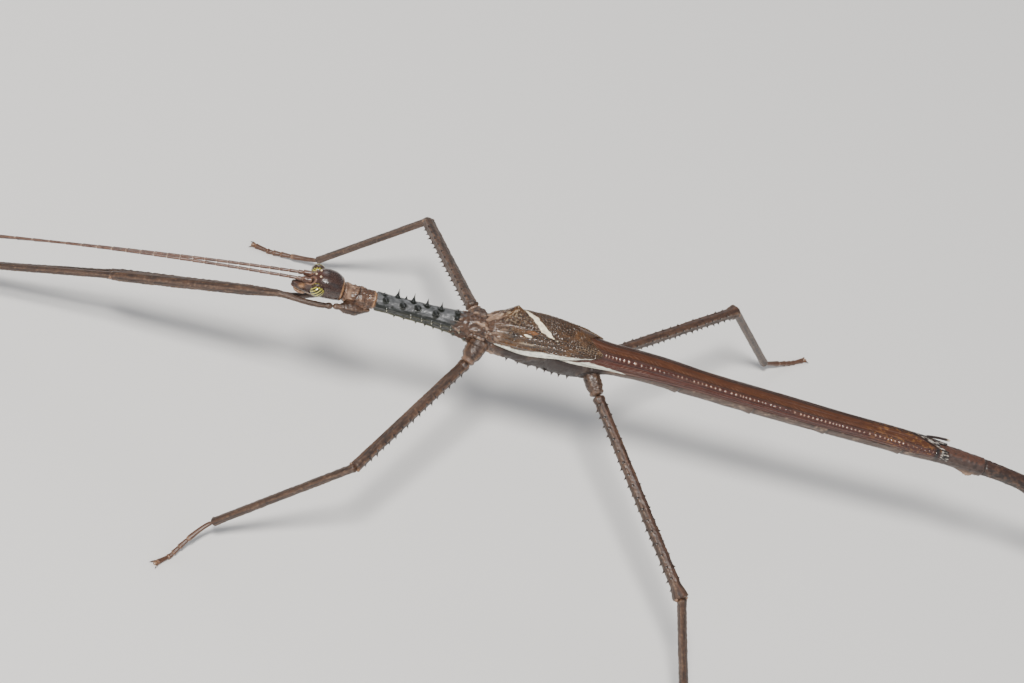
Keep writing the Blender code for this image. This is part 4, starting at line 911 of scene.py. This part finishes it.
legs = {
    "femur": {"fore": 28.3, "mid": 21.2, "hind": 27.7}, "tibia": {"fore": 27.5, "mid": 21.0, "hind": 23.0},
    "tarsus": {"fore": 8.0, "mid": 8.8, "hind": 8.2},
    # radii at the root and end of a coxa, and at the root, middle and end of a femur or tibia
    "coxaRadii": {"fore": (0.86, 0.40), "mid": (1.32, 0.95), "hind": (1.08, 0.92)},
    "femurRadii": {"fore": (0.33, 0.64, 0.54), "mid": (0.76, 0.70, 0.72), "hind": (0.70, 0.65, 0.92)},
    "tibiaRadii": {"fore": (0.50, 0.43, 0.46), "mid": (0.58, 0.50, 0.55), "hind": (0.62, 0.55, 0.60)},
    "tarsusRadius": 0.36, "flat": 2.1, "claw": 0.95, "pad": (0.30, 0.22, 0.20),
    "kneeKnob": (0.22, 0.22, 0.26), "toothRadius": 0.20,
    # ends of the foot's joints, as shares of its length
    "footJoints": (0, 0.42, 0.58, 0.70, 0.80, 1.0),
    # each leg: root, hip, femur heading and pitch, tibia heading and pitch, foot heading
    "foreLeft": ((10.2, -0.95, 27.0), (5.5, -1.75, 27.0), (166.9, -22.4), (169.9, -24.1), 176.0),
    "foreRight": ((10.2, 0.95, 26.9), (5.3, 1.75, 25.5), (167.5, -25.7), (170.7, -24.4), 168.0),
    "midLeft": ((24.6, -0.9, 26.9), (23.4, -3.55, 24.8), (-125.7, -11.7), (178.4, -52.4), -137.0),
    "midRight": ((24.6, 0.9, 27.2), (23.3, 3.55, 27.2), (102.2, -19.3), (149.8, -58.6), 168.0),
    "hindLeft": ((38.8, -1.0, 26.6), (40.4, -4.1, 25.5), (-60.45, -12.8), (-57.8, -51.7), -64.0),
    "hindRight": ((39.2, 1.0, 26.4), (41.5, 3.8, 24.5), (41.7, -10.2), (38.1, -49.9), 31.0),
    "bends": {"foreLeft": ((3.0, -2.2, 26.7), (1.2, -1.7, 26.7), (-1.2, -1.0, 26.05)),
              "foreRight": ((3.6, 1.9, 24.0), (1.8, 2.0, 22.9), (-0.4, 2.3, 22.4))},
    # rows of teeth on the femora: count, length, degrees round the limb, first and last share, paleness
    "teeth": {
        "fore": (),
        "mid": ((17, 0.44, (218, 322), (0.07, 0.93), 0.15), (12, 0.28, (142,), (0.1, 0.9), 0.0)),
        "hind": ((22, 0.42, (218, 322), (0.06, 0.94), 0.6), (16, 0.26, (38, 142), (0.05, 0.9), 0.5)),
    },
}


# Unit vector from a heading on the floor and a pitch above it.
def heading(turned, pitch):
    turned, pitch = math.radians(turned), math.radians(pitch)
    flat = math.cos(pitch)
    return np.array((flat * math.cos(turned), flat * math.sin(turned), math.sin(pitch)))


# Points spread evenly by length along a line through given points.
def along(knots, step):
    knots = np.array(knots, float)
    run = np.concatenate(([0], np.cumsum(np.linalg.norm(np.diff(knots, axis=0), axis=1))))
    s = np.linspace(0, run[-1], max(int(run[-1] / step), 6))
    return np.stack([np.interp(s, run, knots[:, k]) for k in range(3)], 1), s


# Rounded end of a limb: a quarter circle over the cap's length, by the distance from the end.
def cap(left, length):
    return np.clip(1 - (1 - left / length).clip(0) ** 2, 0.03, 1)


# Leg skin by place along the limb and angle round: worn keels, dark grooves between, fine wrinkles, and
# where asked a reddish top, a row of pale dots and ring folds.
def limbSkin(path, s, radius, seed, keel, pale, columns, caps, red=0.0, dots=0.0, rings=0.0):
    angle = circle(columns)[None]
    keels = sum(bell(turn(angle, k), 0.20) for k in np.radians((38, 142, 218, 322)))
    small = sum(bell(turn(angle, k), 0.14) for k in np.radians((0, 90, 180, 270)))
    ends = np.sqrt(cap(s, caps) * cap(s[-1] - s, caps))
    place = s[:, None]
    y, z = 1.4 * np.sin(angle) + 0 * place, 1.4 * np.cos(angle) + 0 * place
    wear = noise(place * 0.7, y * 2.6, z * 2.6, seed=seed)
    knobble = noise(place * 3.5, y * 2.2, z * 2.2, seed=seed + 5)
    reach = radius[:, None] * ends[:, None]
    reach = reach * (0.93 + keel * keels * (1 + 0.6 * knobble) + 0.4 * keel * small
                     + 0.05 * wear + 0.05 * knobble)
    fold = bell((place / 0.66 + 1.2 * wear + 0.12 * np.cos(2 * angle)) % 1 - 0.5, 0.16) * rings
    reach = reach * (1 - 0.09 * fold)
    top = bell(turn(angle, math.radians(90)), 0.5) + 0 * place
    spots = bell((place / 0.9 + 0.3 * knobble) % 1 - 0.5, 0.12) * bell(turn(angle, math.radians(322)), 0.14)
    tint = over(colour(76, 54, 40), colour(40, 27, 20), np.clip(0.5 + 1.8 * wear - 0.8 * keels, 0, 1))
    tint = coats(tint, ((104, 54, 36), red * top),
                 ((120, 94, 74), (keels * (0.25 + 1.2 * knobble)).clip(0, 1) * pale),
                 ((146, 116, 92), np.clip(2.4 * knobble - 0.5, 0, 1) * 0.35),
                 ((34, 22, 17), fold * 0.7), ((206, 198, 184), spots.clip(0, 1) * dots))
    return tube(sweep(path, reach), tint, 0.36 + 0.06 * wear)


# Radius along a limb segment from three values: root, middle and end, eased between.
def threeRadii(s, root, middle, end, grow=1.6, flare=2.2):
    last = s[-1]
    return root + (middle - root) * ease(s, 0, grow) + (end - middle) * ease(s, last - flare, last - 0.3)


# Rows of teeth on the keels of a limb, leaning towards its end.
def limbTeeth(start, end, radius, count, length, angles, shares, white):
    way = unit(end - start)
    across = unit(np.cross(way, (0, 0, 1)))
    above = np.cross(across, way)
    made = []
    for row, degrees in enumerate(angles):
        out = across * math.cos(math.radians(degrees)) + above * math.sin(math.radians(degrees))
        share = np.linspace(*shares, count) + 0.012 * (scatter(np.arange(count), row, 1, 3) - 0.5)
        size = length * (0.75 + 0.5 * scatter(np.arange(count), row, 4, 7))
        roots = start + (end - start) * share[:, None] + out * radius * 0.98
        lean = np.broadcast_to(out + way * 0.35, roots.shape)
        grids, t = cones(roots, lean, size, legs["toothRadius"], 1.0, 10, 7)
        shade = over(colour(40, 27, 21), colour(206, 200, 188), (white * ease(t, 0.4, 0.8))[:, None])
        made += [tube(grid, np.broadcast_to(shade, grid.shape), 0.25) for grid in grids]
    return made


# Foot: down from the ankle in a quarter bend, then flat on the floor, in five joints that swell towards
# their ends. Gives the tip as well.
def foot(pair, ankle, tibiaWay, floorWay):
    sole = legs["tarsusRadius"] * 0.8
    fall = ankle[2] - sole
    length, flat = legs["tarsus"][pair], legs["flat"]
    reach = math.sqrt(max((length - flat) ** 2 - fall**2, 1.0))
    landing = np.array((ankle[0], ankle[1], sole)) + floorWay * reach * 0.97
    bend = ankle + unit(floorWay + tibiaWay) * reach * 0.35
    t = np.linspace(0, 1, 30)[:, None]
    curved = ankle * (1 - t) ** 2 + bend * 2 * t * (1 - t) + landing * t**2
    tip = landing + floorWay * flat
    path, s = along([*curved, tip], 0.045)
    stops = s[-1] * np.array(legs["footJoints"])
    k = np.clip(np.searchsorted(stops, s, side="right") - 1, 0, len(stops) - 2)
    share = (s - stops[k]) / (stops[k + 1] - stops[k])
    swell = 0.74 + 0.20 * share + 0.08 * bell(share - 0.85, 0.15) - 0.16 * bell(share, 0.07)
    radius = legs["tarsusRadius"] * (swell - 0.12 * bell(share - 1, 0.05))
    angle = circle(24)[None]
    grid = sweep(path, (radius * np.sqrt(cap(s[-1] - s, 0.25)))[:, None] * (1 - 0.05 * np.cos(4 * angle)))
    grid[..., 2] = np.maximum(grid[..., 2], 0.0)
    joints = (bell(share - 0.97, 0.06) * 0.7)[:, None] + 0 * angle
    return tube(grid, over(colour(84, 56, 40), colour(150, 114, 88), joints), 0.3), tip


# Two hooked claws and the pad between them.
def clawShapes(tip, floorWay):
    claws = []
    sideWay = np.cross(floorWay, (0, 0, 1))
    t = np.linspace(0, 1, 24)[:, None]
    rise = np.array((0, 0, 1)) * (0.16 * np.sin(math.pi * t) - 0.16 * t)
    for side in sides.values():
        way = unit(floorWay + side * 0.55 * sideWay)
        path = tip - floorWay * 0.15 + side * sideWay * 0.1 + way * legs["claw"] * t + rise
        hook = (0.15 * (1 - t**1.6) + 0.012) * np.ones((1, 14))
        shade = over(colour(110, 72, 44), colour(26, 17, 12), np.broadcast_to(t, hook.shape))
        claws.append(tube(sweep(path, hook), shade, 0.2))
    pad = egg(tip + floorWay * 0.22 + (0, 0, 0.02), legs["pad"], 12, 18)
    claws.append(tube(pad, colour(136, 104, 78), 0.4))
    return claws


# One leg: coxa, trochanter, femur, tibia and foot as overlapping closed limbs, with teeth.
def leg(pair, name):
    root, hip, femurWay, tibiaWay, footWay = legs[name]
    root, hip = np.array(root), np.array(hip)
    femurWay, tibiaWay, floorWay = heading(*femurWay), heading(*tibiaWay), heading(footWay, 0)
    knee = hip + femurWay * legs["femur"][pair]
    ankle = knee + tibiaWay * legs["tibia"][pair]
    seed = 100 + 10 * len(name) + ord(name[-3])
    # coxa: thick at the body, then stepped down, with a rosy end
    thick, thin = legs["coxaRadii"][pair]
    path, s = along((root, hip), 0.05)
    radii = (thick, thick, (2 * thick + thin) / 3, thin * 0.92, thin, thin * 0.9)
    ringed = np.interp(s / s[-1], (0, 0.50, 0.72, 0.82, 0.90, 1), radii)
    ringed = ringed - 0.05 * bell(s - s[-1] * 0.74, 0.1)
    if pair == "fore":
        ringed = ringed * (0.3 + 0.7 * ease(s, 0, s[-1] * 0.45))
    columns = 48
    made = [limbSkin(path, s, ringed, seed, 0.08, 0.9, columns, 0.35, rings=0.5)]
    rosy = ease(s, s[-1] * 0.76, s[-1] * 0.9)[:, None] * np.ones((1, columns))
    rosy = rosy.ravel() * (0.7 if pair == "mid" else 0.25)
    made[0]["tint"][:rosy.size] = over(made[0]["tint"][:rosy.size], colour(132, 104, 86), rosy)
    # trochanter and femur: the fore ones bend round the head in a cubic arc before they run straight
    thin, middle, end = legs["femurRadii"][pair]
    if name in legs["bends"]:
        knots = [hip] + [np.array(p) for p in legs["bends"][name]]
        t = np.linspace(0, 1, 24)[:, None]
        base = ((1 - t) ** 3 * knots[0] + 3 * t * (1 - t) ** 2 * knots[1] + 3 * t * t * (1 - t) * knots[2]
                + t**3 * knots[3])
        path, s = along([*base, knee], 0.07)
        radius = thin + (middle - thin) * ease(s, 4.5, 12.0)
        radius = radius + (end - middle) * ease(s, s[-1] - 2, s[-1] - 0.2)
    else:
        path, s = along((hip, knee), 0.07)
        radius = threeRadii(s, thin, middle, end)
    radius = radius + 0.06 * bell(s - 0.5, 0.22) - 0.05 * bell(s - 0.95, 0.14)
    red, dots = (0.12, 0.8) if pair == "hind" else (0.0, 0.15)
    made.append(limbSkin(path, s, radius, seed + 1, 0.16, 0.7, 44, 0.3, red, dots))
    path, s = along((knee - tibiaWay * 0.25, ankle), 0.07)
    radius = threeRadii(s, *legs["tibiaRadii"][pair], 1.0, 1.2)
    made.append(limbSkin(path, s, radius, seed + 2, 0.14, 0.6, 36, 0.3))
    # knobs at both sides of the knee, painted pale as highlights
    across = unit(np.cross(femurWay, (0, 0, 1)))
    for side in sides.values():
        knob = knee - femurWay * 0.1 + across * side * end * 0.8
        made.append(tube(egg(knob, legs["kneeKnob"], 12, 18), colour(122, 92, 70), 0.28))
    for row in legs["teeth"][pair]:
        made += limbTeeth(hip, knee, middle, *row)
    sole, tip = foot(pair, ankle, tibiaWay, floorWay)
    made.append(sole)
    return made, clawShapes(tip, floorWay)


for pair in ("fore", "mid", "hind"):
    for sideName in sides:
        name = pair + sideName
        made, claws = leg(pair, name)
        parts = [f"{pair}_{part}_{sideName.lower()}" for part in ("coxa", "femur", "tibia", "tarsus")]
        piece(name + "Leg", made, legFinish, parts)
        piece(name + "Claws", claws, hornFinish)
print("legs done")

clasper = {"place": 110.9, "length": 2.8, "beside": 0.34, "spread": 0.16, "sink": 0.25, "radius": 0.22,
           "belly": 0.12, "flatness": 0.75}
# Clasper: a flattened leaf, its reach rising from the root and falling to a point.
for sideName, side in sides.items():
    c = clasper
    t = np.linspace(0, 1, 70)
    path = onAxis(c["place"] + c["length"] * t, side * (c["beside"] + c["spread"] * t), -c["sink"] * t)
    radius = (c["radius"] + c["belly"] * np.sin(math.pi * t)) * np.sqrt(1 - t**3 * 0.995)
    grid = sweep(path, radius[:, None] * np.ones((1, 20)), c["flatness"])
    speckle = noise(t[:, None] * 9, np.arange(20)[None] * 0.3, seed=91)
    shapes = [tube(grid, mottle(colour(70, 45, 34), colour(118, 86, 66), speckle, 1, 0.5), 0.3)]
    piece("clasper" + sideName, shapes, legFinish, ("cercus_" + sideName.lower(),))

studio = {
    "floor": (0.80, 0.79, 0.77, 1), "floorSize": 3.0, "sky": (0.92, 0.94, 1.0, 1), "skyStrength": 0.35,
    # camera: aim on the animal, distance from it, degrees, and lens in millimetres
    "target": (28.6, 0.0, 26.87), "distance": 450.0, "elevation": 45.0, "azimuth": -20.0, "roll": 28.71,
    "lens": 128.62, "sensor": 36.0,
    # lights: direction, distance and size in metres, power, tone
    "lights": {"keyLight": ((-0.33, -0.54, 1.0), 0.8, 0.13, 9.0, (1.0, 0.97, 0.93)),
               "fillLight": ((0.9, -0.8, 0.9), 1.0, 0.8, 1.0, (0.95, 0.97, 1.0)),
               "rimLight": ((-0.2, 1.0, 0.9), 1.0, 0.5, 1.6, (1.0, 1.0, 1.0))},
}
target = np.array(studio["target"]) * mm + origin
bpy.ops.mesh.primitive_plane_add(size=studio["floorSize"], location=(0, 0, 0))
floor = bpy.context.object
floor.name = "floor"
floorFinish = bpy.data.materials.new("floorPaper")
floorFinish.use_nodes = True
paper = floorFinish.node_tree.nodes["Principled BSDF"]
paper.inputs["Base Color"].default_value = studio["floor"]
paper.inputs["Roughness"].default_value = 0.9
floor.data.materials.append(floorFinish)


# An object set at a distance in metres from the animal, by its right, up and backward directions.
def standAt(name, data, rightWay, upWay, back, distance):
    made = bpy.data.objects.new(name, data)
    bpy.context.scene.collection.objects.link(made)
    turned = Matrix(np.column_stack((rightWay, upWay, back)).tolist()).to_4x4()
    turned.translation = (target + back * distance).tolist()
    made.matrix_world = turned
    return made


# A round area light aimed at the animal from a direction.
def softLight(name, way, distance, size, power, tone):
    lamp = bpy.data.lights.new(name, "AREA")
    lamp.shape, lamp.size, lamp.energy, lamp.color = "DISK", size, power, tone
    way = unit(way)
    third = unit(np.cross((0, 0, 1), way))
    standAt(name, lamp, third, np.cross(way, third), way, distance)


for name, light in studio["lights"].items():
    softLight(name, *light)
world = bpy.data.worlds.new("studio")
bpy.context.scene.world = world
world.use_nodes = True
sky = world.node_tree.nodes["Background"]
sky.inputs["Color"].default_value = studio["sky"]
sky.inputs["Strength"].default_value = studio["skyStrength"]

# Camera: it looks back from its elevation and azimuth, turned by the roll about that line.
elevation, azimuth, roll = (math.radians(studio[k]) for k in ("elevation", "azimuth", "roll"))
back = np.array((math.sin(azimuth) * math.cos(elevation), -math.cos(azimuth) * math.cos(elevation),
                 math.sin(elevation)))
level = np.array((math.cos(azimuth), math.sin(azimuth), 0))
upright = np.cross(back, level)
rightWay = math.cos(roll) * level + math.sin(roll) * upright
upWay = -math.sin(roll) * level + math.cos(roll) * upright
view = bpy.data.cameras.new("photoView")
view.lens, view.sensor_width, view.sensor_fit = studio["lens"], studio["sensor"], "HORIZONTAL"
view.clip_start, view.clip_end = 0.01, 20.0
camera = standAt("photoView", view, rightWay, upWay, back, studio["distance"] * mm)
bpy.context.scene.camera = camera
print("stage done")

bpy.context.view_layer.update()
